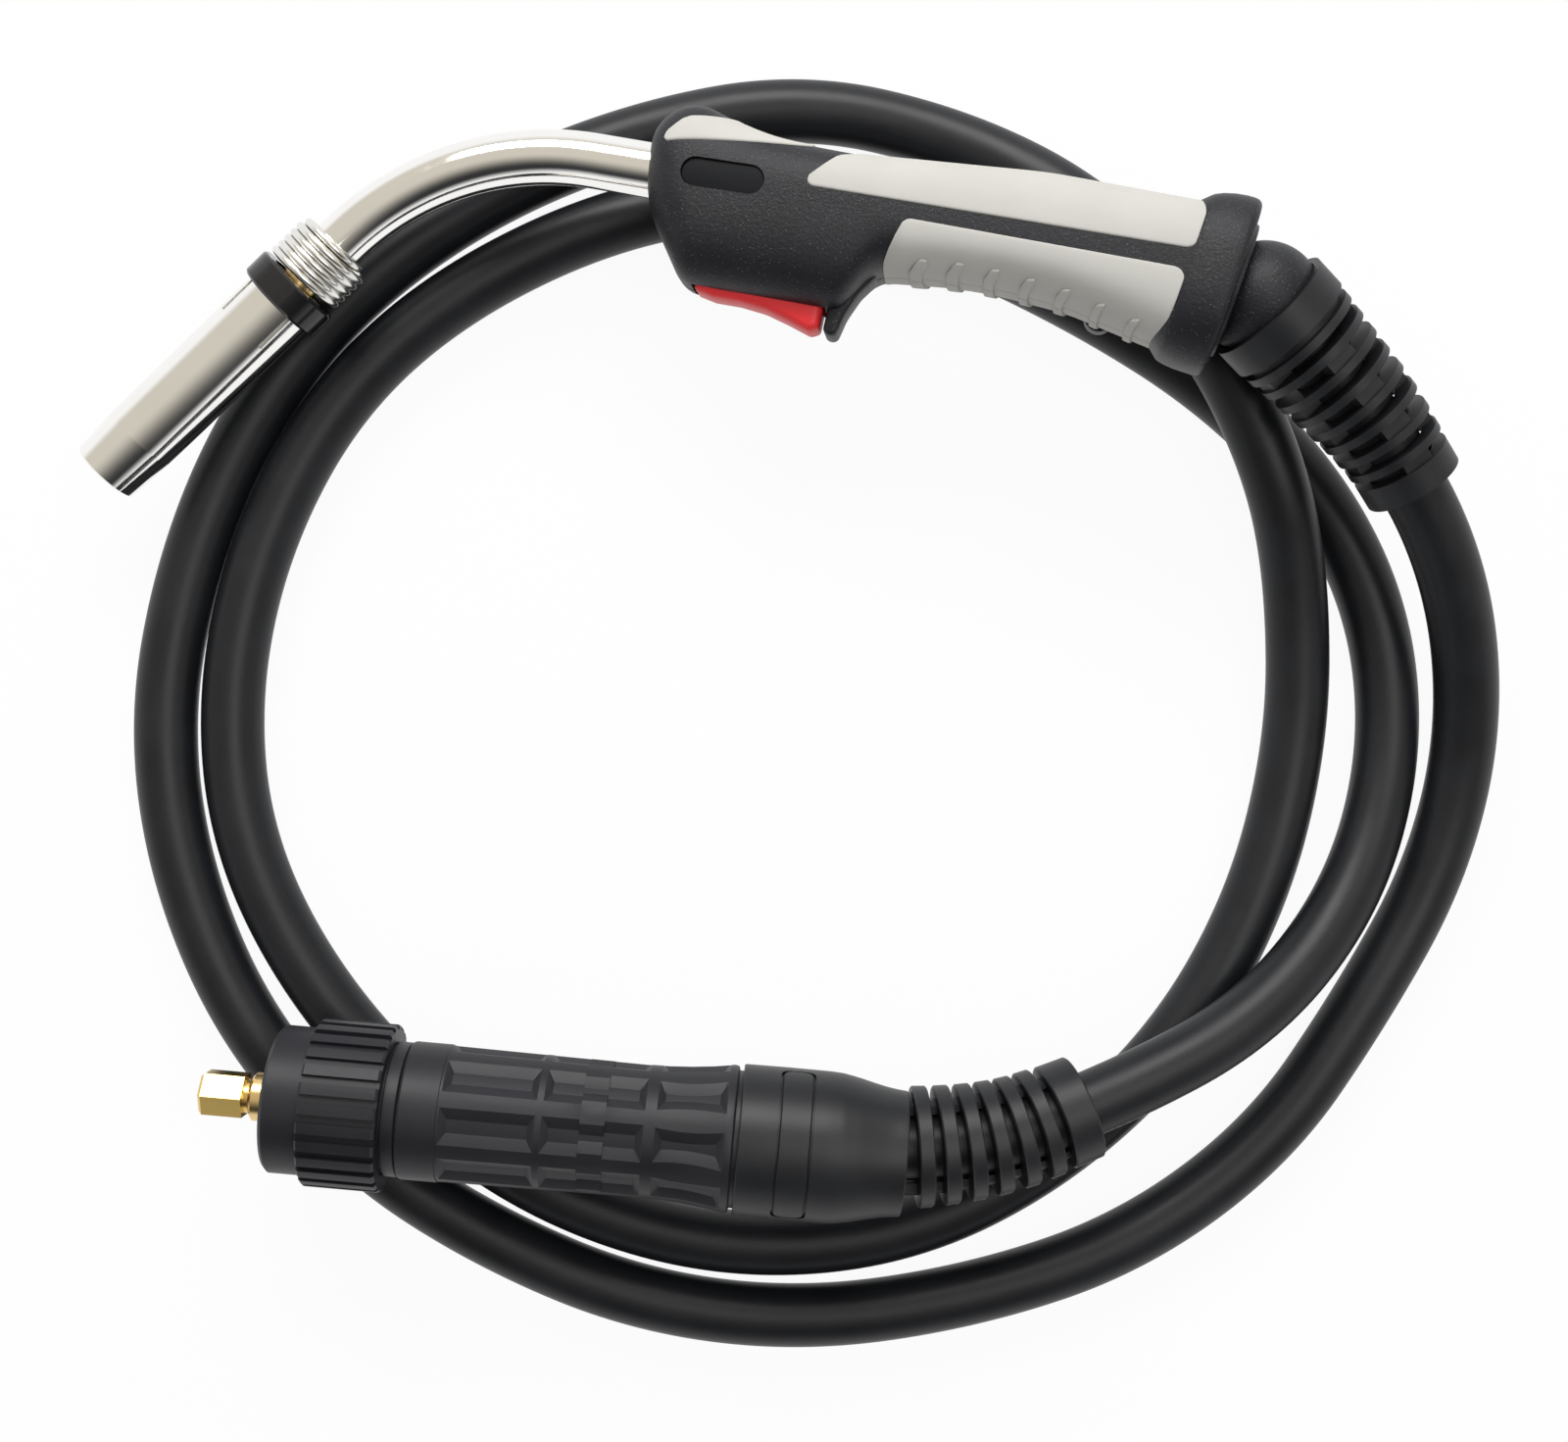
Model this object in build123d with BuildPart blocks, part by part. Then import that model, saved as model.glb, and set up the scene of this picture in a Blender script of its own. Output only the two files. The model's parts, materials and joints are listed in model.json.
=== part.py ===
"""A gas-cooled MIG welding torch, lying as it is stored: its cable in loose loops on a flat surface,
the machine plug on the front of the loops and the handle across their back.

Millimetres, +Z up. The origin is the plug's shoulder, where its spigot stands on the front face of
its housing. The plug's axis is X, and the spigot points along -X."""

import math
import os

from build123d import *

os.makedirs("parts", exist_ok=True)

# ---------------------------------------------------------------- driving dimensions
slip = 0.15  # radial clearance of pieces that are pushed together
swivel_gap = 0.3  # clearance of curved faces on different bodies

# power cable
cable_dia = 17.5
plug_height = 40.5  # plug axis above the surface the cable lies on
cable_bore = cable_dia / 2 + 0.35

# machine plug, measured along X from the shoulder
spigot_dia = 13.0
spigot_length = 18.0
spigot_bore_dia = 5.0
spigot_tail_dia = 9.0  # tail of the spigot, let into the brass body
spigot_tail_end = 16.0
oring_section = 2.0
oring_places = (-5.0, -13.0)
liner_nut_flats = 11.0
liner_nut_length = 13.7
liner_nut_neck_dia = 9.2
liner_nut_neck = 1.5
liner_nut_gap = 0.6  # between the nut and the spigot's end
liner_nut_tail = 12.0  # how far its tail runs into the spigot
wire_hole_dia = 2.4
housing_dia = 34.3
housing_length = 34.0
body_flange_dia = 20.0
body_flange_thick = 6.0
body_dia = 15.0
body_length = 60.0
pin_circle_dia = 23.0
contact_pin_dia = 3.0
contact_pin_length = 14.0
contact_pin_proud = 5.0
contact_pin_travel = 3.0
nut_front = -12.0
nut_rim_dia = 39.0
nut_thread_dia = 34.4
nut_ring_start = -1.7
nut_ring_dia = 44.3
nut_ring_length = 20.5
nut_rib_count = 27
nut_rib_depth = 1.2
nut_flange_dia = 39.0
nut_flange_start = 4.0
nut_flange_thick = 6.0
grip_start = 21.7
grip_end = 111.0
grip_front_dia = 36.4
grip_front_length = 11.8
grip_waist_dia = 34.8
grip_waist_x = 86.0
grip_flare_dia = 39.3
grip_wall = 3.6
grip_pocket_rows = 8
grip_pocket_depth = 1.4
grip_pocket_width = 7.0
grip_pocket_turn = 30.5  # degrees, of the first row
grip_pockets = [(35.5, 22.0), (60.5, 24.0), (89.0, 16.0)]  # start and length
ferrule_dia = 16.4
cable_start = 124.0  # where the cable's jacket begins inside the plug boot

# boot on the plug
boot_front_dia = 39.8
boot_shoulder_x = 140.0
boot_shoulder_dia = 39.0
boot_cone_end = 154.0
boot_cone_end_dia = 33.5
boot_belt_x = 128.5
boot_belt_width = 9.0
boot_belt_depth = 0.8
plug_slat_count = 7
plug_slat = 4.5
plug_slot = 2.0
plug_slat_first_dia = 33.0
plug_slat_last_dia = 29.0
plug_end_ring_dia = 28.3
plug_end_ring_length = 8.0

# handle: its own frame starts at the pivot of the swivel, x runs back along the handle,
# y runs to its back edge and z stands on its near side
pivot_at = (228.0, 232.0, 17.0)
handle_heading = -6.0  # degrees, about Z
handle_tilt = 6.0  # degrees, front lower than rear
handle_half_thickness = 18.0
handle_edge_radius = 8.0
handle_wall = 2.6
pad_proud = 0.4
pad_depth = 1.2
bulkhead_thick = 3.0
bulkheads_x = (-131.0, -109.4)
core_bore_dia = 16.0  # passage round the cable's core
core_rear_y = 2.0

# rear collar and swivel ball
collar_slope = -8.0  # degrees, of the collar's axis to the handle's
collar_back = 8.0  # collar's rear face in front of the pivot
collar_length = 12.5
collar_width = 46.6
collar_thick = 39.0
ball_dia = 30.0
ball_stem_dia = 22.0
ball_stem_end = 12.5
ball_bore_dia = 16.0
inner_cable_dia = 12.0

# boot on the handle: distances from the pivot along its axis
support_azimuth = -38.0  # degrees
support_pitch = 12.0  # degrees below level
support_ring_start = 2.2
support_ring_end = 10.6
support_socket_wall = 2.0  # round the widest part of the ball
support_ring_dia = ball_dia + 2 * support_socket_wall
support_flange_count = 8
support_flange_thick = 2.3
support_flange_first = 13.4
support_flange_last = 54.0
support_flange_first_dia = 33.0
support_flange_last_dia = 26.5
support_end_start = 58.0
support_end = 65.0
support_end_dia = 26.0
support_cable_from = 14.0
support_bend = 50.0
bridge_width = 8.0
bridge_inset = 1.75  # of a bridge's ends from the washer's rim

# neck and nozzle: distances along the nozzle's axis from the end of the neck's bend
neck_offset = 7.0  # neck axis above the handle's axis
neck_dia = 14.5
neck_wall = 0.9
neck_rear_x = -134.0
neck_bend_start_x = -180.0
neck_bend_radius = 80.0
neck_bend_angle = 54.0
neck_end = 3.0
sleeve_wall = 1.2
conductor_wall = 1.6
liner_wall = 1.0
neck_block_dia = 20.0
neck_block_length = 26.0
crimp_dia = 16.0
crimp_length = 22.0
spring_start = 0.6
spring_length = 15.6
spring_turns = 7
spring_wire = 2.0
spring_clear = 1.0  # of its smallest turn round the neck
spring_flare = 4.5  # growth from its first turn to its last
spring_first_dia = neck_dia + 2 * (spring_wire + spring_clear)
spring_last_dia = spring_first_dia + spring_flare
insulator_start = 16.4
insulator_length = 7.8
insulator_dia = 24.5
nozzle_start = 24.5
nozzle_end = 91.0
nozzle_dia = 20.3
nozzle_tip_dia = 18.8
nozzle_taper = 14.0
nozzle_wall = 1.6
nozzle_mouth_dia = 15.2
nozzle_mouth_land = 8.0
nozzle_slit_width = 1.2
nozzle_slit_length = 11.0
diffuser_start = 17.0
diffuser_end = 36.0
holder_dia = 10.4
holder_end = 62.0
tip_dia = 8.0
tip_thread_dia = 6.0
tip_thread = 8.0
tip_length = 28.0
tip_bore_dia = 1.2

# trigger and its switch, in the handle's frame
trigger_pivot = (-143.6, -20.0)
trigger_pin_dia = 2.6
trigger_width = 11.0
trigger_slot_clear = 0.5
trigger_top = -18.0
trigger_front = -146.4
trigger_back = -112.2
housing_wall = 3.4  # wall of the trigger's housing beside it
switch_front = -139.0
switch_length = 20.0
switch_height = 9.5
switch_thick = 6.4
switch_bottom = -16.0
plunger_x = -123.0
plunger_dia = 2.8
plunger_clear = 0.2
plunger_travel = 1.9

# shell screws and badges
screw_spots = [(-154.0, -9.0), (-104.0, -6.2), (-45.0, 15.4), (-40.0, -8.6)]
screw_dia = 2.9
screw_head_dia = 5.6
screw_head_thick = 2.2
boss_dia = 6.6
badge_centre = (-142.0, 4.1)
badge_length = 21.8
badge_width = 7.4
badge_thick = 0.8
badge_turn = 1.0

# cable's route from the plug to the swivel; every point stands a little outside the bend it makes
lay_z = cable_dia / 2 - plug_height + 0.05  # centre of a stretch that lies on the surface
over_z = lay_z + cable_dia + 1.1  # centre of a stretch that lies over another


def unit(azimuth, elevation):
    """A unit vector from its azimuth and elevation in degrees."""
    a, e = math.radians(azimuth), math.radians(elevation)
    return Vector(math.cos(a) * math.cos(e), math.sin(a) * math.cos(e), math.sin(e))


# ---------------------------------------------------------------- frames
torch_x = unit(handle_heading, handle_tilt)
torch_z = unit(handle_heading, handle_tilt + 90)
torch = Plane(origin=pivot_at, x_dir=torch_x, z_dir=torch_z)
torch_side = Axis(torch.origin, torch_z)


def torch_at(x, y, z=0.0):
    """A point of the handle's frame."""
    return torch.from_local_coords(Vector(x, y, z))


def torch_dir(degrees):
    """A direction in the handle's middle plane, turned from its x."""
    a = math.radians(degrees)
    return torch.x_dir * math.cos(a) + torch.y_dir * math.sin(a)


collar_axis_dir = torch_dir(collar_slope)
collar_plane = Plane(origin=torch.origin, x_dir=collar_axis_dir, z_dir=torch_z)
collar_face = Plane(
    origin=torch.origin - collar_axis_dir * collar_back, x_dir=collar_plane.y_dir, z_dir=collar_axis_dir
)
collar_front = collar_face.offset(-collar_length)

neck_arc = math.radians(neck_bend_angle)
neck_end_point = torch_at(
    neck_bend_start_x - neck_bend_radius * math.sin(neck_arc),
    neck_offset - neck_bend_radius * (1 - math.cos(neck_arc)),
)
nozzle_dir = torch_dir(180 + neck_bend_angle)
nozzle_plane = Plane(origin=neck_end_point, x_dir=nozzle_dir, z_dir=torch_z)
nozzle_axis = Axis(neck_end_point, nozzle_dir)

support_dir = unit(support_azimuth, -support_pitch)
support_side = support_dir.cross(Vector(0, 0, 1)).normalized()
support_plane = Plane(
    origin=torch.origin, x_dir=support_dir, z_dir=support_side.cross(support_dir).normalized()
)
support_axis = Axis(torch.origin, support_dir)
support_mouth = Plane(origin=torch.origin, x_dir=support_side, z_dir=support_dir)

cable_route = [
    (cable_start, 0, 0),
    (168, 0, 0),
    (212, 19, -6),
    (251, 42.5, -13),
    (277.5, 77, -25),
    (287, 118, lay_z),
    (280, 158, lay_z),
    (259, 192, lay_z),
    (228, 218, lay_z),
    (189, 238, lay_z),
    (146, 254, lay_z),
    (100, 262, lay_z),
    (54, 251, lay_z),
    (10, 225, lay_z),
    (-20, 193, lay_z),
    (-38, 151, lay_z),
    (-43.5, 107, lay_z),
    (-36, 65, lay_z),
    (-13, 27, lay_z),
    (22, -6, lay_z),
    (64, -29, lay_z),
    (112, -38, lay_z),
    (160, -30, lay_z),
    (200, -6, lay_z),
    (233, 30, lay_z),
    (253, 74, lay_z),
    (260, 121, lay_z),
    (254, 164, -24),
    (242, 195, over_z),
    (221, 229, over_z),
    (188, 261, -19),
    (150, 281, lay_z),
    (104, 287.5, lay_z),
    (58, 275, lay_z),
    (14, 252, lay_z),
    (-22, 220, lay_z),
    (-45, 183, lay_z),
    (-58, 142, lay_z),
    (-62, 97, lay_z),
    (-52, 53, lay_z),
    (-29, 11, lay_z),
    (6, -21, lay_z),
    (44, -41, lay_z),
    (88, -55, lay_z),
    (135, -56.5, lay_z),
    (183, -45, lay_z),
    (226, -26, lay_z),
    (262, 6, lay_z),
    (284, 45, lay_z),
    (302.5, 86, lay_z),
    (306, 128, -24),
    (292.5, 168.5, -6.5),
    tuple(torch.origin + support_dir * support_bend),
    tuple(torch.origin + support_dir * support_cable_from),
]


def bend_radii(route):
    """The largest even bend at each inner point: 0.45 of the shorter run over the half turn's tangent."""
    points = [Vector(*point) for point in route]
    radii = []
    for before, here, after in zip(points, points[1:], points[2:]):
        half_turn = math.radians((here - before).get_angle(after - here)) / 2
        shorter = min((here - before).length, (after - here).length)
        radii.append(0.45 * shorter / math.tan(half_turn))
    return radii


cable_radii = bend_radii(cable_route)
print("cable bend radii:", [round(radius) for radius in cable_radii])
finished = {}


def finish(name, piece):
    """Labels a finished piece and keeps it for writing."""
    piece.label = name
    finished[name] = piece


# ---------------------------------------------------------------- power cable
with BuildPart() as power_cable:
    with BuildLine() as cable_line:
        FilletPolyline(*cable_route, radius=cable_radii)
    with BuildSketch(Plane(origin=cable_route[0], z_dir=(1, 0, 0))):
        Circle(cable_dia / 2)
    sweep()
cable_wire = cable_line.wires()[0]
cable_section = math.pi * cable_dia**2 / 4
print("cable length", round(cable_wire.length), "mm")
print("tube volume over section x length", round(power_cable.part.volume / cable_section / cable_wire.length, 4))
finish("power_cable", power_cable.part)

# ---------------------------------------------------------------- machine plug
with BuildPart() as gas_spigot:
    with BuildSketch(Plane.XY):
        with BuildLine():
            Polyline(
                (-spigot_length, spigot_bore_dia / 2),
                (-spigot_length, spigot_dia / 2 - 0.6),
                (-spigot_length + 0.6, spigot_dia / 2),
                (0, spigot_dia / 2),
                (0, spigot_tail_dia / 2),
                (spigot_tail_end, spigot_tail_dia / 2),
                (spigot_tail_end, spigot_bore_dia / 2),
                close=True,
            )
        make_face()
    revolve(axis=Axis.X)
    with BuildSketch(Plane.XY):
        for groove in oring_places:
            with Locations((groove, spigot_dia / 2)):
                Rectangle(oring_section + 0.4, 2 * oring_section)
    revolve(axis=Axis.X, mode=Mode.SUBTRACT)
finish("gas_spigot", gas_spigot.part)

with BuildPart() as spigot_o_rings:
    with BuildSketch(Plane.XY):
        for groove in oring_places:
            with Locations((groove, spigot_dia / 2 - oring_section / 2)):
                Circle(oring_section / 2)
    revolve(axis=Axis.X)
finish("spigot_o_rings", spigot_o_rings.part)

nut_face = Plane(origin=(-spigot_length, 0, 0), z_dir=(-1, 0, 0))
with BuildPart() as liner_nut:
    with BuildSketch(nut_face.offset(liner_nut_gap)):
        Circle(liner_nut_neck_dia / 2)
    extrude(amount=liner_nut_neck)
    with BuildSketch(nut_face.offset(liner_nut_gap + liner_nut_neck)):
        RegularPolygon(liner_nut_flats / 2, 6, major_radius=False)
    extrude(amount=liner_nut_length - liner_nut_gap - liner_nut_neck)
    nut_ends = liner_nut.faces().filter_by(Axis.X).sort_by(Axis.X)
    chamfer(nut_ends[0].edges(), length=0.9)
    with BuildSketch(nut_face.offset(-liner_nut_tail)):
        Circle(spigot_bore_dia / 2 - slip)
    extrude(amount=liner_nut_tail + liner_nut_gap)
    with BuildSketch(nut_face):
        Circle(wire_hole_dia / 2)
    extrude(amount=spigot_length + liner_nut_length, both=True, mode=Mode.SUBTRACT)
finish("liner_nut", liner_nut.part)

with BuildPart() as plug_body:
    with BuildSketch(Plane.XY):
        with BuildLine():
            Polyline(
                (0, spigot_tail_dia / 2),
                (0, body_flange_dia / 2),
                (body_flange_thick, body_flange_dia / 2),
                (body_flange_thick, body_dia / 2),
                (body_length, body_dia / 2),
                (body_length, spigot_bore_dia / 2),
                (spigot_tail_end, spigot_bore_dia / 2),
                (spigot_tail_end, spigot_tail_dia / 2),
                close=True,
            )
        make_face()
    revolve(axis=Axis.X)
finish("plug_body", plug_body.part)

pin_spots = [(0, pin_circle_dia / 2), (0, -pin_circle_dia / 2)]
pin_face = Plane(origin=(0, 0, 0), x_dir=(0, 1, 0), z_dir=(-1, 0, 0))
pin_well = contact_pin_length - contact_pin_proud + contact_pin_travel + 2.0
with BuildPart() as plug_housing:
    with BuildSketch(Plane.XY):
        with BuildLine():
            Polyline(
                (0, body_flange_dia / 2 + slip),
                (0, housing_dia / 2),
                (nut_flange_start, housing_dia / 2),
                (nut_flange_start, nut_flange_dia / 2),
                (nut_flange_start + nut_flange_thick, nut_flange_dia / 2),
                (nut_flange_start + nut_flange_thick, housing_dia / 2),
                (grip_start - 0.4, housing_dia / 2),
                (grip_start - 0.4, grip_front_dia / 2 - grip_wall - slip),
                (housing_length, grip_front_dia / 2 - grip_wall - slip),
                (housing_length, body_dia / 2 + slip),
                (body_flange_thick + slip, body_dia / 2 + slip),
                (body_flange_thick + slip, body_flange_dia / 2 + slip),
                close=True,
            )
        make_face()
    revolve(axis=Axis.X)
    with BuildSketch(pin_face):
        with Locations(*pin_spots):
            Circle(contact_pin_dia / 2 + slip)
    extrude(amount=-pin_well, mode=Mode.SUBTRACT)
finish("plug_housing", plug_housing.part)

for letter, spot in zip("ab", pin_spots):
    with BuildPart() as contact_pin:
        with BuildSketch(pin_face.offset(contact_pin_proud)):
            with Locations(spot):
                Circle(contact_pin_dia / 2)
        extrude(amount=-contact_pin_length)
        fillet(contact_pin.edges().filter_by(GeomType.CIRCLE).sort_by(Axis.X)[0], radius=1.0)
    finish(f"contact_pin_{letter}", contact_pin.part)

with BuildPart() as plug_nut:
    nut_rear = nut_ring_start + nut_ring_length
    flange_back = nut_flange_start + nut_flange_thick + swivel_gap
    with BuildSketch(Plane.XY):
        with BuildLine():
            Polyline(
                (nut_front, nut_thread_dia / 2),
                (nut_front, nut_rim_dia / 2 - 1),
                (nut_front + 1, nut_rim_dia / 2),
                (nut_ring_start, nut_rim_dia / 2),
                (nut_ring_start, nut_ring_dia / 2 - 0.6),
                (nut_ring_start + 0.6, nut_ring_dia / 2),
                (nut_rear - 0.6, nut_ring_dia / 2),
                (nut_rear, nut_ring_dia / 2 - 0.6),
                (nut_rear, housing_dia / 2 + swivel_gap),
                (flange_back, housing_dia / 2 + swivel_gap),
                (flange_back, nut_flange_dia / 2 + swivel_gap),
                (nut_flange_start - 2, nut_flange_dia / 2 + swivel_gap),
                (nut_flange_start - 3, nut_thread_dia / 2 + swivel_gap),
                (nut_front + 8, nut_thread_dia / 2),
                close=True,
            )
        make_face()
    revolve(axis=Axis.X)
    with BuildSketch(Plane(origin=(nut_ring_start, 0, 0), z_dir=(1, 0, 0))):
        with PolarLocations(nut_ring_dia / 2, nut_rib_count):
            Rectangle(2 * nut_rib_depth, math.pi * nut_ring_dia / nut_rib_count * 0.42)
    extrude(amount=nut_ring_length, mode=Mode.SUBTRACT)
finish("plug_nut", plug_nut.part)

with BuildPart() as plug_grip:
    front_end = grip_start + grip_front_length
    with BuildSketch(Plane.XY):
        with BuildLine():
            outer_line = Polyline(
                (grip_start, grip_front_dia / 2 - grip_wall),
                (grip_start, grip_front_dia / 2 - 0.8),
                (grip_start + 0.8, grip_front_dia / 2),
                (front_end, grip_front_dia / 2),
                (front_end, grip_front_dia / 2 - 0.5),
            )
            waist = Line(outer_line @ 1, (grip_waist_x, grip_waist_dia / 2))
            flare = ThreePointArc(
                waist @ 1,
                (0.5 * (grip_waist_x + grip_end), grip_waist_dia / 2 + 0.6),
                (grip_end - 1, grip_flare_dia / 2 - 0.4),
            )
            Polyline(
                flare @ 1,
                (grip_end, grip_flare_dia / 2 - 1.4),
                (grip_end, cable_bore),
                (grip_end - grip_wall, cable_bore),
                (grip_end - grip_wall, grip_waist_dia / 2 - grip_wall),
                (housing_length + 4, grip_waist_dia / 2 - grip_wall),
                (housing_length + 4, grip_front_dia / 2 - grip_wall),
                outer_line @ 0,
            )
        make_face()
    revolve(axis=Axis.X)
    for start, length in grip_pockets:
        with BuildSketch(Plane(origin=(start, 0, 0), z_dir=(1, 0, 0))):
            with PolarLocations(grip_waist_dia / 2 + 1.2, grip_pocket_rows, start_angle=grip_pocket_turn):
                Rectangle(2 * grip_pocket_depth + 1.2, grip_pocket_width)
        extrude(amount=length, mode=Mode.SUBTRACT)
finish("plug_grip", plug_grip.part)

with BuildPart() as cable_ferrule:
    with BuildSketch(Plane(origin=(body_length, 0, 0), z_dir=(1, 0, 0))):
        Circle(ferrule_dia / 2)
    extrude(amount=cable_start - body_length)
finish("cable_ferrule", cable_ferrule.part)


def slatted(slat_planes, slat_dias, slat, slot_planes, slot, width):
    """Washers round the cable, tied together by pairs of bridges that alternate by a quarter turn."""
    with BuildPart() as slats:
        for plane, dia in zip(slat_planes, slat_dias):
            with BuildSketch(plane):
                Circle(dia / 2)
            extrude(amount=slat / 2, both=True)
        for index, plane in enumerate(slot_planes):
            reach = slat_dias[min(index, len(slat_dias) - 1)] - 2 * bridge_inset
            with BuildSketch(plane):
                Rectangle(width, reach) if index % 2 else Rectangle(reach, width)
            extrude(amount=slot / 2 + 0.6, both=True)
    return slats.part


def route_plane(distance):
    """The plane across the cable at a distance along it from its start in the plug."""
    here = cable_wire.position_at(distance, position_mode=PositionMode.LENGTH)
    along = cable_wire.tangent_at(distance, position_mode=PositionMode.LENGTH)
    return Plane(origin=here, x_dir=along.cross(Vector(0, 0, 1)), z_dir=along)


def support_section(distance):
    """The plane across the handle's boot at a distance from the pivot, facing away from the handle."""
    section = route_plane(cable_wire.length - distance + support_cable_from)
    return Plane(origin=section.origin, x_dir=section.x_dir, z_dir=-section.z_dir)


cone_end_distance = boot_cone_end - cable_start
slat_pitch = plug_slat + plug_slot
slat_places = [cone_end_distance + plug_slot + plug_slat / 2 + slat_pitch * n for n in range(plug_slat_count)]
slot_places = [place - slat_pitch / 2 for place in slat_places] + [slat_places[-1] + slat_pitch / 2]
slat_dia_step = (plug_slat_last_dia - plug_slat_first_dia) / (plug_slat_count - 1)
plug_slats = slatted(
    [route_plane(place) for place in slat_places],
    [plug_slat_first_dia + slat_dia_step * n for n in range(plug_slat_count)],
    plug_slat,
    [route_plane(place) for place in slot_places],
    plug_slot,
    bridge_width,
)
end_ring_place = slat_places[-1] + slat_pitch / 2 + plug_slot / 2
boot_end_place = end_ring_place + plug_end_ring_length

with BuildPart() as plug_boot:
    with BuildSketch(Plane.XY):
        with BuildLine():
            Polyline(
                (grip_end + 0.1, 0),
                (grip_end + 0.1, boot_front_dia / 2),
                (boot_belt_x - boot_belt_width / 2, boot_front_dia / 2 - 0.15),
                (boot_belt_x - boot_belt_width / 2, boot_front_dia / 2 - 0.15 - boot_belt_depth),
                (boot_belt_x + boot_belt_width / 2, boot_front_dia / 2 - 0.25 - boot_belt_depth),
                (boot_belt_x + boot_belt_width / 2, boot_front_dia / 2 - 0.25),
                (boot_shoulder_x, boot_shoulder_dia / 2),
                (boot_cone_end, boot_cone_end_dia / 2),
                (boot_cone_end, 0),
                close=True,
            )
        make_face()
    revolve(axis=Axis.X)
    add(plug_slats)
    with BuildSketch(route_plane(end_ring_place)):
        Circle(plug_end_ring_dia / 2)
    extrude(amount=plug_end_ring_length)
    with BuildSketch(Plane(origin=(grip_end, 0, 0), z_dir=(1, 0, 0))):
        Circle(cable_bore)
    extrude(amount=cable_start - grip_end, mode=Mode.SUBTRACT)
    with BuildLine():
        FilletPolyline(*cable_route[:5], radius=cable_radii[:3])
    with BuildSketch(Plane(origin=cable_route[0], z_dir=(1, 0, 0))):
        Circle(cable_bore)
    sweep(mode=Mode.SUBTRACT)
finish("plug_boot", plug_boot.part)

# ---------------------------------------------------------------- swivel and handle boot
with BuildPart() as cable_support:
    with BuildSketch(support_mouth.offset(support_ring_start)):
        Circle(support_ring_dia / 2)
    extrude(amount=support_ring_end - support_ring_start)
    flange_pitch = (support_flange_last - support_flange_first) / (support_flange_count - 1)
    flange_dia_step = (support_flange_last_dia - support_flange_first_dia) / (support_flange_count - 1)
    flange_places = [support_flange_first + flange_pitch * n for n in range(support_flange_count)]
    gap_places = [place + flange_pitch / 2 for place in flange_places]
    add(
        slatted(
            [support_section(place) for place in flange_places],
            [support_flange_first_dia + flange_dia_step * n for n in range(support_flange_count)],
            support_flange_thick,
            [support_section(place) for place in gap_places],
            flange_pitch - support_flange_thick,
            bridge_width,
        )
    )
    with BuildSketch(support_mouth.offset(support_ring_end - 0.5)):
        Circle(support_ring_dia / 2 - 2.5)
    extrude(amount=support_flange_first - support_ring_end + 0.5)
    with BuildSketch(support_section(support_end_start)):
        Circle(support_end_dia / 2)
    extrude(amount=support_end - support_end_start)
    with BuildSketch(support_plane):
        with Locations((0, 0)):
            Circle(ball_dia / 2 + swivel_gap)
        with Locations((-ball_dia, 0)):
            Rectangle(2 * ball_dia, 4 * ball_dia, mode=Mode.SUBTRACT)
        with Locations((0, -ball_dia)):
            Rectangle(4 * ball_dia, 2 * ball_dia, mode=Mode.SUBTRACT)
    revolve(axis=support_axis, mode=Mode.SUBTRACT)
    with BuildSketch(support_mouth):
        Circle(ball_stem_dia / 2 + swivel_gap)
    extrude(amount=ball_stem_end + swivel_gap, mode=Mode.SUBTRACT)
    with BuildSketch(support_mouth):
        Circle(cable_bore)
    extrude(amount=support_cable_from + 0.1, mode=Mode.SUBTRACT)
    with BuildLine():
        FilletPolyline(*cable_route[:-6:-1], radius=cable_radii[:-4:-1])
    with BuildSketch(Plane(origin=cable_route[-1], z_dir=support_dir)):
        Circle(cable_bore)
    sweep(mode=Mode.SUBTRACT)
finish("cable_support", cable_support.part)

with BuildPart() as swivel_ball:
    with BuildSketch(support_plane):
        Circle(ball_dia / 2)
        with Locations((0, -ball_dia)):
            Rectangle(4 * ball_dia, 2 * ball_dia, mode=Mode.SUBTRACT)
    revolve(axis=support_axis)
    with BuildSketch(support_mouth):
        Circle(ball_stem_dia / 2)
    extrude(amount=ball_stem_end)
    with BuildSketch(support_mouth.offset(-ball_dia)):
        Circle(ball_bore_dia / 2)
    extrude(amount=2 * ball_dia, mode=Mode.SUBTRACT)
finish("swivel_ball", swivel_ball.part)

with BuildPart() as rear_collar:
    with BuildSketch(collar_front):
        Ellipse(collar_width / 2, collar_thick / 2)
    extrude(amount=collar_length)
    chamfer(rear_collar.faces().sort_by(Axis(torch.origin, collar_axis_dir))[-1].edges(), length=1.2)
    with BuildSketch(collar_plane):
        Circle(ball_dia / 2 + swivel_gap)
        with Locations((0, -ball_dia)):
            Rectangle(4 * ball_dia, 2 * ball_dia, mode=Mode.SUBTRACT)
    revolve(axis=Axis(torch.origin, collar_axis_dir), mode=Mode.SUBTRACT)
    with BuildSketch(collar_front):
        Circle(core_bore_dia / 2)
    extrude(amount=collar_length, mode=Mode.SUBTRACT)
finish("rear_collar", rear_collar.part)


# ---------------------------------------------------------------- handle shells and pads
collar_slant = math.tan(math.radians(-collar_slope))
collar_middle_x = -(collar_back + collar_length) * math.cos(math.radians(collar_slope))
collar_middle_y = -(collar_back + collar_length) * math.sin(math.radians(collar_slope))


def rear_corner(y, clear=0.02):
    """A point at a height y of the handle, just in front of the collar."""
    return (collar_middle_x - clear + (y - collar_middle_y) * collar_slant, y)


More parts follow.
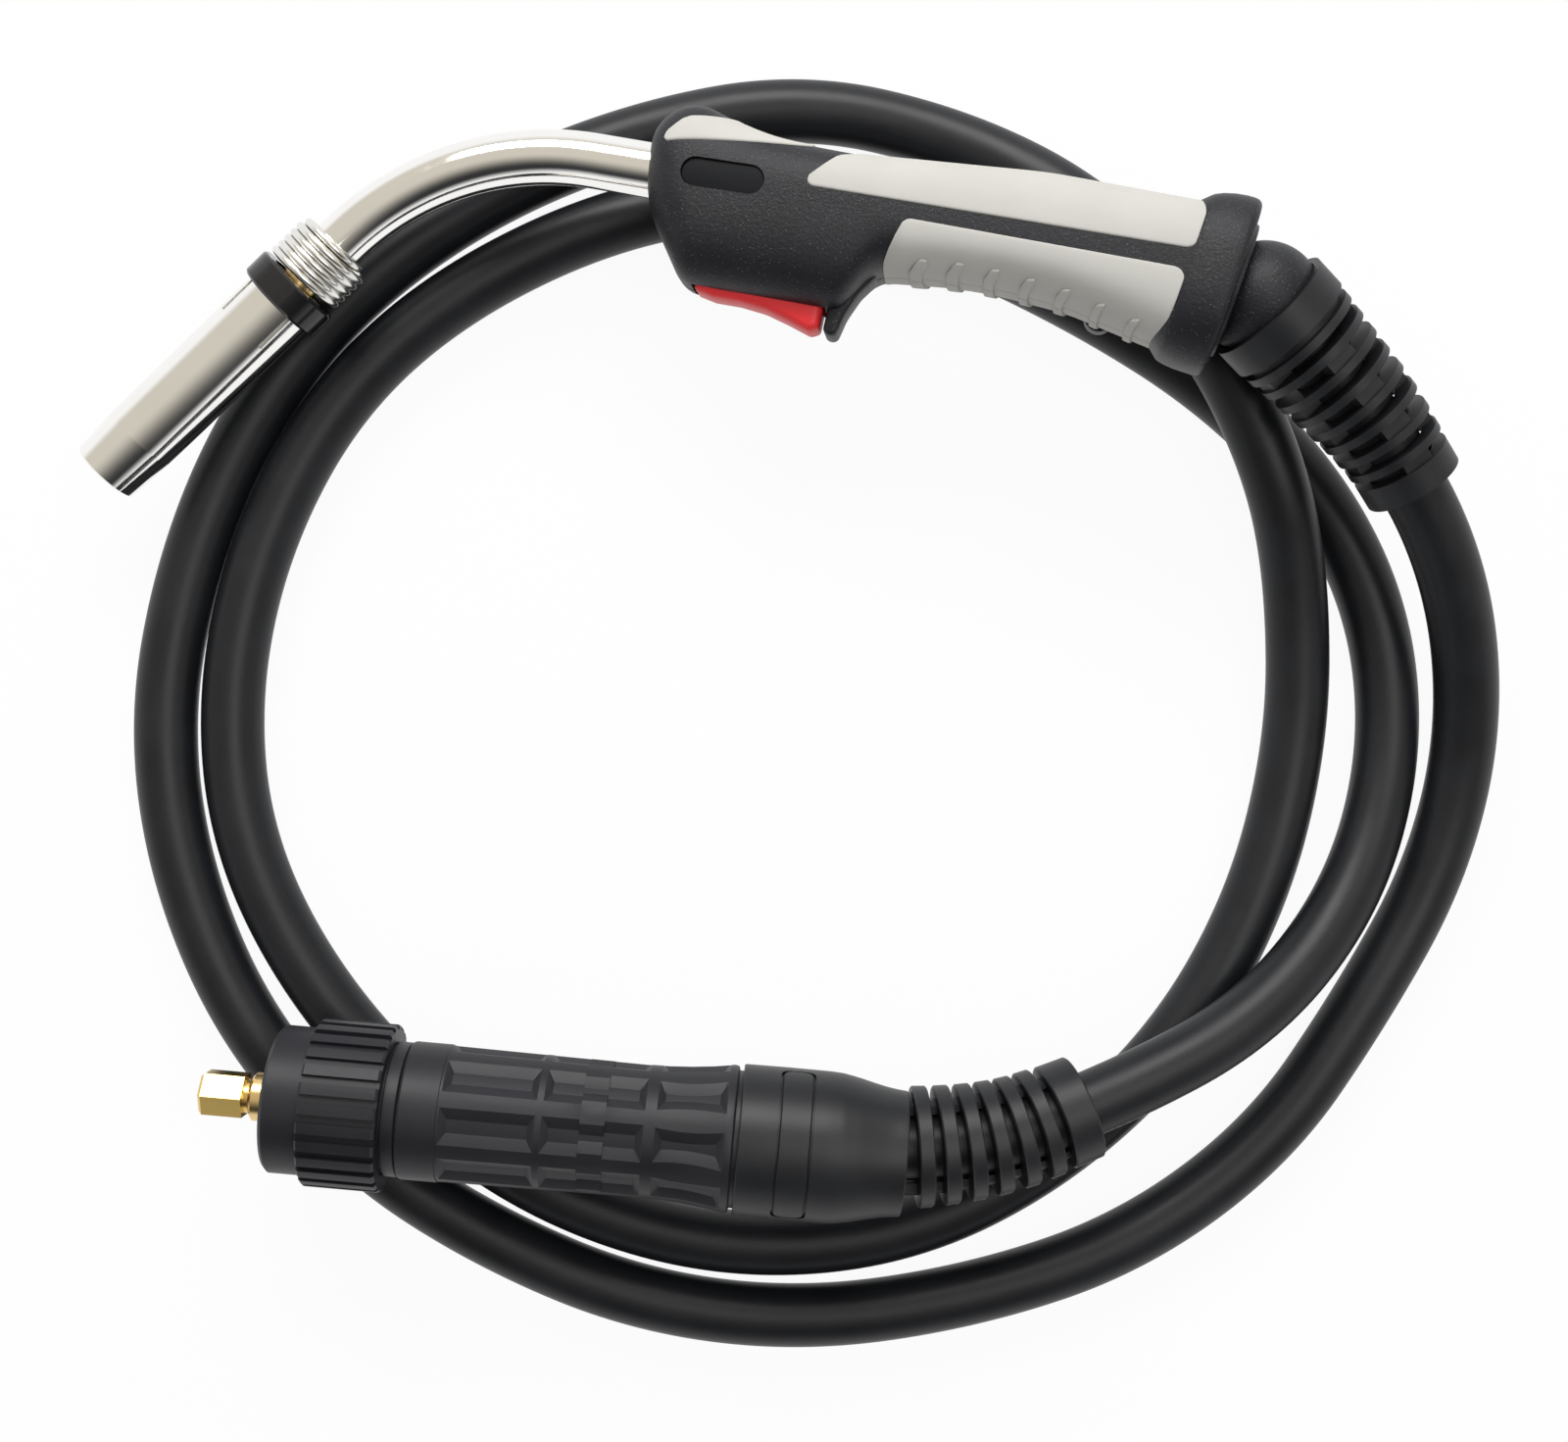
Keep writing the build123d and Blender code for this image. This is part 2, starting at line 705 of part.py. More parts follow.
handle_corners = [
    rear_corner(23.4),
    (-60, 24.4),
    (-108, 19.8),
    (-134, 20.6),
    (-157, 28.4),
    (-168.4, 20),
    (-166, -3),
    (-151, -20),
    (-104, -12.8),
    (-74, -11.4),
    (-49, -13.4),
    rear_corner(-19),
]
handle_corner_radii = [120, 90, 60, 10.5, 12, 30, 11, 60, 120, 60]


def handle_form(grow):
    """The handle's solid form, grown evenly by a distance that may be negative."""
    with BuildPart() as form:
        with BuildSketch(torch):
            with BuildLine():
                edge = FilletPolyline(*handle_corners, radius=handle_corner_radii)
                Line(edge @ 1, edge @ 0)
            make_face()
            if grow:
                offset(amount=grow, kind=Kind.INTERSECTION)
        extrude(amount=handle_half_thickness + grow, both=True)
        sides = form.faces().sort_by(torch_side)
        fillet(sides[0].edges() + sides[-1].edges(), radius=handle_edge_radius + grow)
    return form.part


handle_outer = handle_form(0)
handle_skin = handle_form(pad_proud)
handle_floor = handle_form(-pad_depth)
handle_inside = handle_form(-handle_wall)
half_depth = handle_half_thickness + 5

with BuildPart() as neck_passage:
    with BuildSketch(Plane(origin=torch_at(-175, neck_offset), z_dir=torch.x_dir)):
        Circle(neck_dia / 2 + slip)
    extrude(amount=50)

with BuildPart() as screw_wells:
    with BuildSketch(torch.offset(-half_depth)):
        with Locations(*screw_spots):
            Circle(screw_head_dia / 2 + slip)
    extrude(amount=half_depth - handle_half_thickness + screw_head_thick + 1.5)


def pad(outline, side):
    """A soft pad let into one side of the handle and wrapped over its edge."""
    with BuildPart() as piece:
        with BuildSketch(torch):
            with BuildLine():
                Polyline(*outline, close=True)
            make_face()
        extrude(amount=side * half_depth)
        add(handle_skin, mode=Mode.INTERSECT)
        add(handle_floor, mode=Mode.SUBTRACT)
        add(neck_passage.part, mode=Mode.SUBTRACT)
        add(screw_wells.part, mode=Mode.SUBTRACT)
    return piece.part


pad_outlines = {
    "front_pad": [(-159.6, 10.8), (-140, 13.9), (-126.4, 16), (-122, 32), (-150, 32), (-150.4, 20.6),
                  (-155.6, 17.4), (-158.8, 14)],
    "upper_pad": [(-120, 7.2), (-118.8, 6.1), (-22.8, 5.8), rear_corner(7.2, 1.7), rear_corner(32, 1.7),
                  (-103, 32), (-112, 15.5)],
    "lower_pad": [(-93, 1.1), (-23.8, 0.3), rear_corner(-1, 1.7), rear_corner(-27, 1.7), (-103, -27),
                  (-98.8, -11.6)],
}

with BuildPart() as handle_cavity:
    add(handle_inside)
    for bulkhead_x in bulkheads_x:
        with BuildSketch(torch):
            with Locations((bulkhead_x, 0)):
                Rectangle(bulkhead_thick, 60)
        extrude(amount=half_depth, both=True, mode=Mode.SUBTRACT)
    with BuildSketch(torch):
        with Locations(*screw_spots):
            Circle(boss_dia / 2)
    extrude(amount=half_depth, both=True, mode=Mode.SUBTRACT)
    with BuildSketch(Plane(origin=torch_at(neck_rear_x - 3, neck_offset), z_dir=torch.x_dir)):
        Circle(neck_block_dia / 2 + slip)
    extrude(amount=neck_block_length + 20)
    add(neck_passage.part)
    with BuildSketch(Plane(origin=torch_at(-30, core_rear_y), z_dir=torch.x_dir)):
        Circle(core_bore_dia / 2)
    extrude(amount=20)
    with BuildSketch(torch):
        with BuildLine():
            Polyline(
                (trigger_front - 0.8, -33),
                (trigger_back + 1, -33),
                (trigger_back + 1, trigger_top + 2.8),
                (trigger_front - 0.8, trigger_top + 2.8),
                close=True,
            )
        make_face()
    extrude(amount=trigger_width / 2 + trigger_slot_clear, both=True)
    with BuildSketch(torch):
        with BuildLine():
            Polyline(
                (switch_front - slip, switch_bottom - 1),
                (switch_front + switch_length + slip, switch_bottom - 1),
                (switch_front + switch_length + slip, switch_bottom + switch_height + slip),
                (switch_front - slip, switch_bottom + switch_height + slip),
                close=True,
            )
        make_face()
    extrude(amount=switch_thick / 2 + slip, both=True)
    with BuildSketch(torch):
        with Locations(trigger_pivot):
            Circle(trigger_pin_dia / 2)
    extrude(amount=trigger_width / 2 + housing_wall - 1, both=True)
    add(screw_wells.part)
    with BuildSketch(torch.offset(-half_depth)):
        with Locations(*screw_spots):
            Circle(screw_dia / 2 + 0.02)
    extrude(amount=half_depth + 9.2)


def shell(side, cuts):
    """One half of the handle, with the trigger housing and the guard behind it."""
    with BuildPart() as piece:
        add(handle_outer)
        with BuildSketch(torch):
            with BuildLine():
                front = Polyline((-156, -8), (-156, -14), (-150, -22.4), (-110.9, -21.8), (-110.9, -29.9))
                guard = ThreePointArc(front @ 1, (-109.1, -32), (-106.5, -30.2))
                ThreePointArc(guard @ 1, (-104.7, -19.6), (-99, -12))
                Polyline((-99, -12), (-99, -8), (-156, -8))
            make_face()
        extrude(amount=trigger_width / 2 + housing_wall, both=True)
        add(handle_cavity.part, mode=Mode.SUBTRACT)
        for cut in cuts:
            add(cut, mode=Mode.SUBTRACT)
        split(bisect_by=torch, keep=Keep.TOP if side > 0 else Keep.BOTTOM)
    return piece.part


for side, side_name in ((1, "near"), (-1, "far")):
    badge_plane = torch.offset(side * handle_half_thickness)
    with BuildPart() as badge:
        with BuildSketch(badge_plane):
            with Locations(badge_centre):
                SlotOverall(badge_length, badge_width, rotation=badge_turn)
        extrude(amount=-side * badge_thick)
    pads = {name: pad(outline, side) for name, outline in pad_outlines.items()}
    finish(f"handle_shell_{side_name}", shell(side, [badge.part, *pads.values()]))
    for name, piece in pads.items():
        finish(f"{name}_{side_name}", piece)
    finish(f"badge_{side_name}", badge.part)

with BuildPart() as shell_screws:
    with BuildSketch(torch.offset(-handle_half_thickness + screw_head_thick + 1.5)):
        with Locations(*screw_spots):
            Circle(screw_head_dia / 2)
    extrude(amount=-screw_head_thick)
    with BuildSketch(torch.offset(-handle_half_thickness + screw_head_thick + 1.5)):
        with Locations(*screw_spots):
            Circle(screw_dia / 2)
    extrude(amount=handle_half_thickness - screw_head_thick + 7.5)
finish("shell_screws", shell_screws.part)

# ---------------------------------------------------------------- trigger and switch
with BuildPart() as trigger:
    with BuildSketch(torch):
        with BuildLine():
            edge = Polyline(
                (trigger_front, -22.6), (trigger_front, trigger_top), (trigger_back, trigger_top), (trigger_back, -28.2)
            )
            tip = ThreePointArc(edge @ 1, (trigger_back - 0.8, -29.7), (trigger_back - 2.6, -29.8))
            scoop = ThreePointArc(tip @ 1, (-130, -24.6), (trigger_front + 2, -23.4))
            Line(scoop @ 1, edge @ 0)
        make_face()
    extrude(amount=trigger_width / 2, both=True)
    with BuildSketch(torch):
        with Locations(trigger_pivot):
            Circle(trigger_pin_dia / 2 + 0.1)
    extrude(amount=trigger_width, both=True, mode=Mode.SUBTRACT)
finish("trigger", trigger.part)

with BuildPart() as trigger_pin:
    with BuildSketch(torch):
        with Locations(trigger_pivot):
            Circle(trigger_pin_dia / 2)
    extrude(amount=trigger_width / 2 + housing_wall - 1.1, both=True)
finish("trigger_pin", trigger_pin.part)

with BuildPart() as micro_switch:
    with BuildSketch(torch):
        with Locations((switch_front + switch_length / 2, switch_bottom + switch_height / 2)):
            Rectangle(switch_length, switch_height)
    extrude(amount=switch_thick / 2, both=True)
    with BuildSketch(Plane(origin=torch_at(plunger_x, switch_bottom - 1), z_dir=torch.y_dir)):
        Circle(plunger_dia / 2 + 0.1)
    extrude(amount=1 + plunger_travel + 2.6, mode=Mode.SUBTRACT)
finish("micro_switch", micro_switch.part)

with BuildPart() as switch_plunger:
    with BuildSketch(Plane(origin=torch_at(plunger_x, trigger_top + plunger_clear), z_dir=torch.y_dir)):
        Circle(plunger_dia / 2)
    extrude(amount=4.0)
finish("switch_plunger", switch_plunger.part)

# ---------------------------------------------------------------- neck and its core
with BuildLine(torch) as neck_line:
    shank = Line((neck_rear_x, neck_offset), (neck_bend_start_x, neck_offset))
    bend = JernArc(shank @ 1, shank % 1, radius=neck_bend_radius, arc_size=neck_bend_angle)
    Line(bend @ 1, bend @ 1 + (bend % 1) * neck_end)
neck_start_plane = Plane(origin=torch_at(neck_rear_x, neck_offset), z_dir=-torch.x_dir)
neck_path = neck_line.wires()[0]


def neck_layer(outer_radius, wall):
    """One tube of the neck, bent with it."""
    with BuildPart() as layer:
        with BuildSketch(neck_start_plane):
            Circle(outer_radius)
            Circle(outer_radius - wall, mode=Mode.SUBTRACT)
        sweep(path=neck_path)
    return layer.part


sleeve_radius = neck_dia / 2 - neck_wall - slip
conductor_radius = sleeve_radius - sleeve_wall - slip
liner_radius = conductor_radius - conductor_wall - slip
finish("neck_tube", neck_layer(neck_dia / 2, neck_wall))
finish("neck_insulation", neck_layer(sleeve_radius, sleeve_wall))
finish("neck_conductor", neck_layer(conductor_radius, conductor_wall))
finish("wire_liner", neck_layer(liner_radius, liner_wall))

block_front = neck_rear_x + 0.2
block_rear = block_front + neck_block_length
with BuildPart() as neck_block:
    with BuildSketch(Plane(origin=torch_at(block_front, neck_offset), z_dir=torch.x_dir)):
        Circle(neck_block_dia / 2)
    extrude(amount=neck_block_length)
finish("neck_block", neck_block.part)

with BuildPart() as crimp_ferrule:
    with BuildSketch(Plane(origin=torch_at(block_rear, neck_offset), z_dir=torch.x_dir)):
        Circle(crimp_dia / 2)
    extrude(amount=crimp_length)
finish("crimp_ferrule", crimp_ferrule.part)

core_from = torch_at(block_rear + crimp_length, neck_offset)
core_to = torch.origin - collar_axis_dir * (ball_dia / 2 + 2)
with BuildPart() as inner_cable:
    with BuildSketch(Plane(origin=core_from, z_dir=core_to - core_from)):
        Circle(inner_cable_dia / 2)
    extrude(amount=(core_to - core_from).length)
    split(bisect_by=Plane(origin=core_from, z_dir=torch.x_dir), keep=Keep.TOP)
finish("inner_cable", inner_cable.part)

# ---------------------------------------------------------------- nozzle group
with BuildPart() as tip_holder:
    with BuildSketch(nozzle_plane):
        with BuildLine():
            Polyline(
                (neck_end + 0.1, 1.5),
                (neck_end + 0.1, neck_dia / 2),
                (diffuser_start - 2.5, neck_dia / 2),
                (diffuser_start - 2.5, holder_dia / 2),
                (holder_end - 2, holder_dia / 2),
                (holder_end, holder_dia / 2 - 1),
                (holder_end, tip_thread_dia / 2),
                (holder_end - tip_thread, tip_thread_dia / 2),
                (holder_end - tip_thread, 1.5),
                close=True,
            )
        make_face()
    revolve(axis=nozzle_axis)
finish("tip_holder", tip_holder.part)

tip_end = holder_end - tip_thread + tip_length
with BuildPart() as contact_tip:
    with BuildSketch(nozzle_plane):
        with BuildLine():
            Polyline(
                (holder_end - tip_thread, tip_bore_dia / 2),
                (holder_end - tip_thread, tip_thread_dia / 2),
                (holder_end, tip_thread_dia / 2),
                (holder_end, tip_dia / 2),
                (tip_end - 6, tip_dia / 2),
                (tip_end, tip_dia / 2 - 1.4),
                (tip_end, tip_bore_dia / 2),
                close=True,
            )
        make_face()
    revolve(axis=nozzle_axis)
finish("contact_tip", contact_tip.part)

nozzle_bore = nozzle_dia / 2 - nozzle_wall
with BuildPart() as gas_diffuser:
    with BuildSketch(nozzle_plane):
        with BuildLine():
            Polyline(
                (diffuser_start, holder_dia / 2 + slip),
                (diffuser_start, nozzle_bore - slip),
                (diffuser_end, nozzle_bore - slip),
                (diffuser_end, holder_dia / 2 + slip),
                close=True,
            )
        make_face()
    revolve(axis=nozzle_axis)
    with BuildSketch(Plane(origin=nozzle_plane.origin + nozzle_dir * (diffuser_end + 1), z_dir=-nozzle_dir)):
        with PolarLocations((nozzle_bore + holder_dia / 2) / 2, 6):
            Circle(0.9)
    extrude(amount=diffuser_end - diffuser_start - 3, mode=Mode.SUBTRACT)
finish("gas_diffuser", gas_diffuser.part)

with BuildPart() as nozzle_insulator:
    with BuildSketch(nozzle_plane):
        with BuildLine():
            Polyline(
                (insulator_start, nozzle_bore),
                (insulator_start, insulator_dia / 2 - 0.6),
                (insulator_start + 0.6, insulator_dia / 2),
                (insulator_start + insulator_length - 0.6, insulator_dia / 2),
                (insulator_start + insulator_length, insulator_dia / 2 - 0.6),
                (insulator_start + insulator_length, nozzle_bore),
                close=True,
            )
        make_face()
    revolve(axis=nozzle_axis)
finish("nozzle_insulator", nozzle_insulator.part)

spring_pitch = spring_length / spring_turns
spring_dia_step = (spring_last_dia - spring_first_dia) / (spring_turns - 1)
with BuildPart() as nozzle_spring:
    with BuildSketch(nozzle_plane):
        for turn in range(spring_turns):
            middle = spring_start + spring_pitch * (turn + 0.5)
            ring_radius = (spring_first_dia + spring_dia_step * turn) / 2 - spring_wire / 2
            with Locations((middle, ring_radius)):
                Circle(spring_wire / 2)
            with Locations((middle, (ring_radius + neck_dia / 2 + slip) / 2)):
                Rectangle(spring_pitch, ring_radius - neck_dia / 2 - slip)
    revolve(axis=nozzle_axis)
finish("nozzle_spring", nozzle_spring.part)

with BuildPart() as gas_nozzle:
    with BuildSketch(nozzle_plane):
        with BuildLine():
            Polyline(
                (nozzle_start, nozzle_bore),
                (nozzle_start, nozzle_dia / 2),
                (nozzle_end - nozzle_taper, nozzle_dia / 2),
                (nozzle_end - 0.5, nozzle_tip_dia / 2),
                (nozzle_end, nozzle_tip_dia / 2 - 0.5),
                (nozzle_end, nozzle_mouth_dia / 2),
                (nozzle_end - nozzle_mouth_land, nozzle_mouth_dia / 2),
                (nozzle_end - nozzle_mouth_land - 3, nozzle_bore),
                close=True,
            )
        make_face()
    revolve(axis=nozzle_axis)
    with BuildSketch(Plane(origin=nozzle_plane.origin + nozzle_dir * nozzle_start, z_dir=nozzle_dir)):
        with PolarLocations(nozzle_dia / 2, 4, start_angle=45):
            Rectangle(4 * nozzle_wall, nozzle_slit_width)
    extrude(amount=nozzle_slit_length, mode=Mode.SUBTRACT)
finish("gas_nozzle", gas_nozzle.part)

# ---------------------------------------------------------------- written parts
for name, piece in finished.items():
    export_step(piece, f"parts/{name}.step")
print(len(finished), "parts written")
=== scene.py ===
"""A gas-cooled MIG welding torch lying as it is stored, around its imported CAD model.

Everything is in the row frame. Named sizes here are millimetres, and are multiplied by MM where a mesh
is made. +Z is up, the plug's axis is X and its shoulder is the origin."""

import json
import math

import bmesh
import bpy
import numpy as np
from mathutils import Matrix, Vector


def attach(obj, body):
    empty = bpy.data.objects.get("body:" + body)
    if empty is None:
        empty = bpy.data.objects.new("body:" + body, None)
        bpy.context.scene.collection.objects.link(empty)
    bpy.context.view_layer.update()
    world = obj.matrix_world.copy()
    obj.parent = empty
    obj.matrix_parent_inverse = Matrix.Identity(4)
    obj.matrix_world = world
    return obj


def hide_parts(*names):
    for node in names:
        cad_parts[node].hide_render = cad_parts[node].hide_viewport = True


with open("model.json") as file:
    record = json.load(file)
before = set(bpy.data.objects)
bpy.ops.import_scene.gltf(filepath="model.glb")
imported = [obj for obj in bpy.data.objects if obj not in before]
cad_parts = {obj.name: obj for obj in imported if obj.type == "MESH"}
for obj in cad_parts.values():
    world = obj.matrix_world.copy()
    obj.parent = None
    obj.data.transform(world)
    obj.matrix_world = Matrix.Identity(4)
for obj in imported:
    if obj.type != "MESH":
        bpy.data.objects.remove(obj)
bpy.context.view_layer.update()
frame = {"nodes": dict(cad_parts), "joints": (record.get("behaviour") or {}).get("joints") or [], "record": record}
nodes = frame["nodes"]
joints = {joint["name"]: joint for joint in frame["joints"]}
MM = 0.001

# ---------------------------------------------------------------- sizes that the CAD model has
cable_dia = 17.5
plug_height = 40.5  # plug axis above the floor
lay = cable_dia / 2 - plug_height + 0.05  # centre of the cable where it lies on the floor
over = lay + cable_dia + 1.1  # and where it lies over another turn
support_cable_from = 14.0
support_bend = 50.0


def unit(vector):
    """The vector's direction, with a length of 1."""
    return Vector(vector).normalized()


# ---------------------------------------------------------------- frames, from the joints
pivot = Vector(joints["handle_swing"]["pos_m"]) / MM
torch_z = -unit(joints["handle_swing"]["axis"])
support_dir = -unit(joints["swivel_twist"]["axis"])
nozzle_dir = unit(joints["nozzle_pull"]["axis"])
neck_bend_angle = math.radians(54)
torch_x = Matrix.Rotation(-(math.pi + neck_bend_angle), 3, torch_z) @ nozzle_dir
torch_y = torch_z.cross(torch_x)


def frame_matrix(origin, x, y, z):
    """A 4x4 in millimetres from its origin and three axes."""
    made = Matrix((x, y, z)).transposed().to_4x4()
    made.translation = origin
    return made


torch = frame_matrix(pivot, torch_x, torch_y, torch_z)
plug = Matrix.Identity(4)

# ---------------------------------------------------------------- camera
camera_height = 565.0  # above the floor
camera_spot = (114.4, 112.45)
camera_turn = 5.07  # degrees
camera_lens = 45.0
camera = bpy.data.objects.new("camera", bpy.data.cameras.new("camera"))
camera.data.lens = camera_lens
camera.data.sensor_width = 36.0
camera.data.clip_start, camera.data.clip_end = 0.01, 20.0
camera.location = (camera_spot[0] * MM, camera_spot[1] * MM, (camera_height - plug_height) * MM)
camera.rotation_euler = (0, 0, math.radians(camera_turn))
bpy.context.scene.collection.objects.link(camera)
bpy.context.scene.camera = camera


# ---------------------------------------------------------------- materials
class Shade:
    """A node material in the making: its tree, its shader and short ways to add nodes."""

    def __init__(self, name, colour, rough, metal=0.0, specular=0.5):
        self.material = bpy.data.materials.new(name)
        self.material.use_nodes = True
        self.tree = self.material.node_tree
        self.shader = self.tree.nodes["Principled BSDF"]
        self.shader.inputs["Base Color"].default_value = (*colour, 1)
        self.shader.inputs["Roughness"].default_value = rough
        self.shader.inputs["Metallic"].default_value = metal
        self.shader.inputs["Specular IOR Level"].default_value = specular
        self.where = self.add("ShaderNodeTexCoord").outputs["Object"]

    def add(self, kind, **values):
        """A new node with some of its inputs or settings given."""
        node = self.tree.nodes.new(kind)
        for key, value in values.items():
            if key in node.inputs:
                node.inputs[key].default_value = value
            else:
                setattr(node, key, value)
        return node

    def link(self, output, node, socket):
        """Links an output into a node's socket and gives the node back."""
        self.tree.links.new(output, node.inputs[socket])
        return node

    def noise(self, scale, detail=4.0, rough=0.55):
        """Noise over the object, with its scale in features per metre."""
        node = self.add("ShaderNodeTexNoise", Scale=scale, Detail=detail, Roughness=rough)
        return self.link(self.where, node, "Vector").outputs["Fac"]

    def cells(self, scale):
        """Distance to the middle of the nearest cell, with its scale in cells per metre."""
        node = self.add("ShaderNodeTexVoronoi", Scale=scale, feature="F1")
        return self.link(self.where, node, "Vector").outputs["Distance"]

    def ramp(self, output, stops):
        """A colour ramp over an output: stops are (place, colour or grey)."""
        node = self.link(output, self.add("ShaderNodeValToRGB"), "Fac")
        ramp = node.color_ramp
        while len(ramp.elements) < len(stops):
            ramp.elements.new(0.5)
        for element, (place, colour) in zip(ramp.elements, stops):
            element.position = place
            element.color = (*colour, 1) if hasattr(colour, "__len__") else (colour, colour, colour, 1)
        return node.outputs["Color"]

    def mix(self, amount, one, other):
        """A mix of two colours: each value is an output, a colour or a number."""
        node = self.add("ShaderNodeMix", data_type="RGBA", blend_type="MIX")
        factor, a, b = (node.inputs[i] for i in (0, 6, 7))
        for socket, value in ((factor, amount), (a, one), (b, other)):
            if isinstance(value, bpy.types.NodeSocket):
                self.tree.links.new(value, socket)
            elif hasattr(value, "__len__"):
                socket.default_value = (*value, 1)
            else:
                socket.default_value = value
        return node.outputs[2]

    def colour(self, output):
        """Links an output into the base colour."""
        self.tree.links.new(output, self.shader.inputs["Base Color"])

    def roughness(self, output, low, high):
        """Roughness from an output, as that goes from 0 to 1."""
        node = self.add("ShaderNodeMapRange")
        node.inputs["To Min"].default_value = low
        node.inputs["To Max"].default_value = high
        self.link(output, node, "Value")
        self.tree.links.new(node.outputs["Result"], self.shader.inputs["Roughness"])

    def bump(self, output, height):
        """Bump from an output, with its height in millimetres."""
        node = self.link(output, self.add("ShaderNodeBump", Strength=1.0, Distance=height * MM), "Height")
        self.tree.links.new(node.outputs["Normal"], self.shader.inputs["Normal"])


def grained(name, colour, rough, grain, height, painted_glint, spread, specular=0.5):
    """Moulded plastic or rubber: a fine grain, faint blotches of tone and pale flecks, which are painted glints of
    light on its grain.
    """
    shade = Shade(name, colour, rough, specular=specular)
    blotch = shade.noise(60, 3)
    dark = [c * (1 - spread) for c in colour]
    pale = [c * (1 + spread) for c in colour]
    tone = shade.mix(shade.ramp(blotch, [(0.3, 0.0), (0.7, 1.0)]), dark, pale)
    fine = shade.noise(grain, 3, 0.7)
    # pale flecks painted into the base colour: painted glints standing in for light sparkling on the grain
    if painted_glint:
        glint_spots = shade.ramp(shade.cells(grain * 0.8), [(0.0, 1.0), (0.16, 0.0)])
        tone = shade.mix(glint_spots, tone, [min(1.0, c + painted_glint) for c in colour])
    shade.colour(tone)
    shade.roughness(blotch, rough - 0.05, rough + 0.06)
    shade.bump(fine, height)
    return shade.material


def metal(name, colour, rough, scratch=0.004, spread=0.06):
    """Metal with a handled surface: faint tone changes, varied polish and fine scratches."""
    shade = Shade(name, colour, rough, metal=1.0)
    blotch = shade.noise(90, 4)
    dark = [c * (1 - spread) for c in colour]
    shade.colour(shade.mix(blotch, dark, [min(1.0, c * (1 + spread * 0.5)) for c in colour]))
    shade.roughness(shade.noise(250, 5), max(0.02, rough - 0.05), rough + 0.06)
    shade.bump(shade.noise(1500, 4, 0.6), scratch)
    return shade.material


# colour, roughness, grain per metre, its height in mm, painted glints (pale flecks), blotches, specular level
grained_looks = {
    "cable_rubber": ((0.010, 0.0108, 0.013), 0.4, 900, 0.02, 0.012, 0.2, 0.3),
    "boot_rubber": ((0.011, 0.0118, 0.014), 0.42, 1400, 0.015, 0.0, 0.15, 0.35),
    "plug_plastic": ((0.0115, 0.012, 0.016), 0.46, 1600, 0.02, 0.01, 0.12, 0.35),
    "shell_plastic": ((0.008, 0.0086, 0.012), 0.44, 1250, 0.2, 0.2, 0.14, 0.32),
    "badge_plastic": ((0.007, 0.0075, 0.009), 0.5, 2500, 0.004, 0.0, 0.08, 0.12),
    "pad_rubber": ((0.50, 0.488, 0.454), 0.6, 1300, 0.02, 0.0, 0.03, 0.3),
    "trigger_red": ((0.82, 0.03, 0.035), 0.42, 1500, 0.012, 0.0, 0.05, 0.4),
    "switch_plastic": ((0.03, 0.03, 0.034), 0.4, 1800, 0.006, 0.0, 0.1, 0.5),
    "insulation": ((0.5, 0.42, 0.26), 0.5, 1200, 0.01, 0.0, 0.08, 0.5),
    "ceramic": ((0.78, 0.76, 0.7), 0.4, 1500, 0.01, 0.0, 0.04, 0.5),
    "gloss_black": ((0.008, 0.008, 0.009), 0.14, 900, 0.004, 0.0, 0.1, 0.5),
    "o_ring_rubber": ((0.010, 0.010, 0.011), 0.32, 1800, 0.004, 0.0, 0.1, 0.5),
}
# colour, roughness and, for the chrome, depth of its scratches in mm and spread of its tone
metal_looks = {
    "brass": ((0.80, 0.58, 0.27), 0.24),
    "gold_brass": ((0.74, 0.52, 0.17), 0.24),
    "copper": ((0.85, 0.42, 0.27), 0.28),
    "steel": ((0.82, 0.81, 0.78), 0.2),
    "chrome": ((0.93, 0.92, 0.90), 0.08, 0.0015, 0.03),
}
looks = {name: grained(name, *values) for name, values in grained_looks.items()}
looks.update({name: metal(name, *values) for name, values in metal_looks.items()})

record_slots = {entry["node"]: entry["material_slot"] for entry in frame["record"]["subparts"]}


def dress(obj, slot):
    """Gives a piece the material for the record's slot that it stands for."""
    obj.data.materials.clear()
    obj.data.materials.append(looks[slot])
    return obj


# ---------------------------------------------------------------- power cable
route = [
    (124, 0, 0), (168, 0, 0), (212, 19, -6), (251, 42.5, -13), (277.5, 77, -25), (287, 118, lay),
    (280, 158, lay), (259, 192, lay), (228, 218, lay), (189, 238, lay), (146, 254, lay), (100, 262, lay),
    (54, 251, lay), (10, 225, lay), (-20, 193, lay), (-38, 151, lay), (-43.5, 107, lay), (-36, 65, lay),
    (-13, 27, lay), (22, -6, lay), (64, -29, lay), (112, -38, lay), (160, -30, lay), (200, -6, lay),
    (233, 30, lay), (253, 74, lay), (260, 121, lay), (254, 164, -24), (242, 195, over), (221, 229, over),
    (188, 261, -19), (150, 281, lay), (104, 287.5, lay), (58, 275, lay), (14, 252, lay), (-22, 220, lay),
    (-45, 183, lay), (-58, 142, lay), (-62, 97, lay), (-52, 53, lay), (-29, 11, lay), (6, -21, lay),
    (44, -41, lay), (88, -55, lay), (135, -56.5, lay), (183, -45, lay), (226, -26, lay), (262, 6, lay),
    (284, 45, lay), (302.5, 86, lay), (306, 128, -24), (292.5, 168.5, -6.5),
    pivot + support_dir * support_bend, pivot + support_dir * support_cable_from,
]


def route_curve(name):
    """A NURBS spline through the cable's route, from the handle to the plug."""
    curve = bpy.data.curves.new(name, "CURVE")
    curve.dimensions = "3D"
    spline = curve.splines.new("NURBS")
    points = list(reversed(route))
    spline.points.add(len(points) - 1)
    for place, point in zip(spline.points, points):
        place.co = (*(Vector(point) * MM), 1)
    spline.order_u = 3
    spline.use_endpoint_u = True
    spline.resolution_u = 16
    return curve


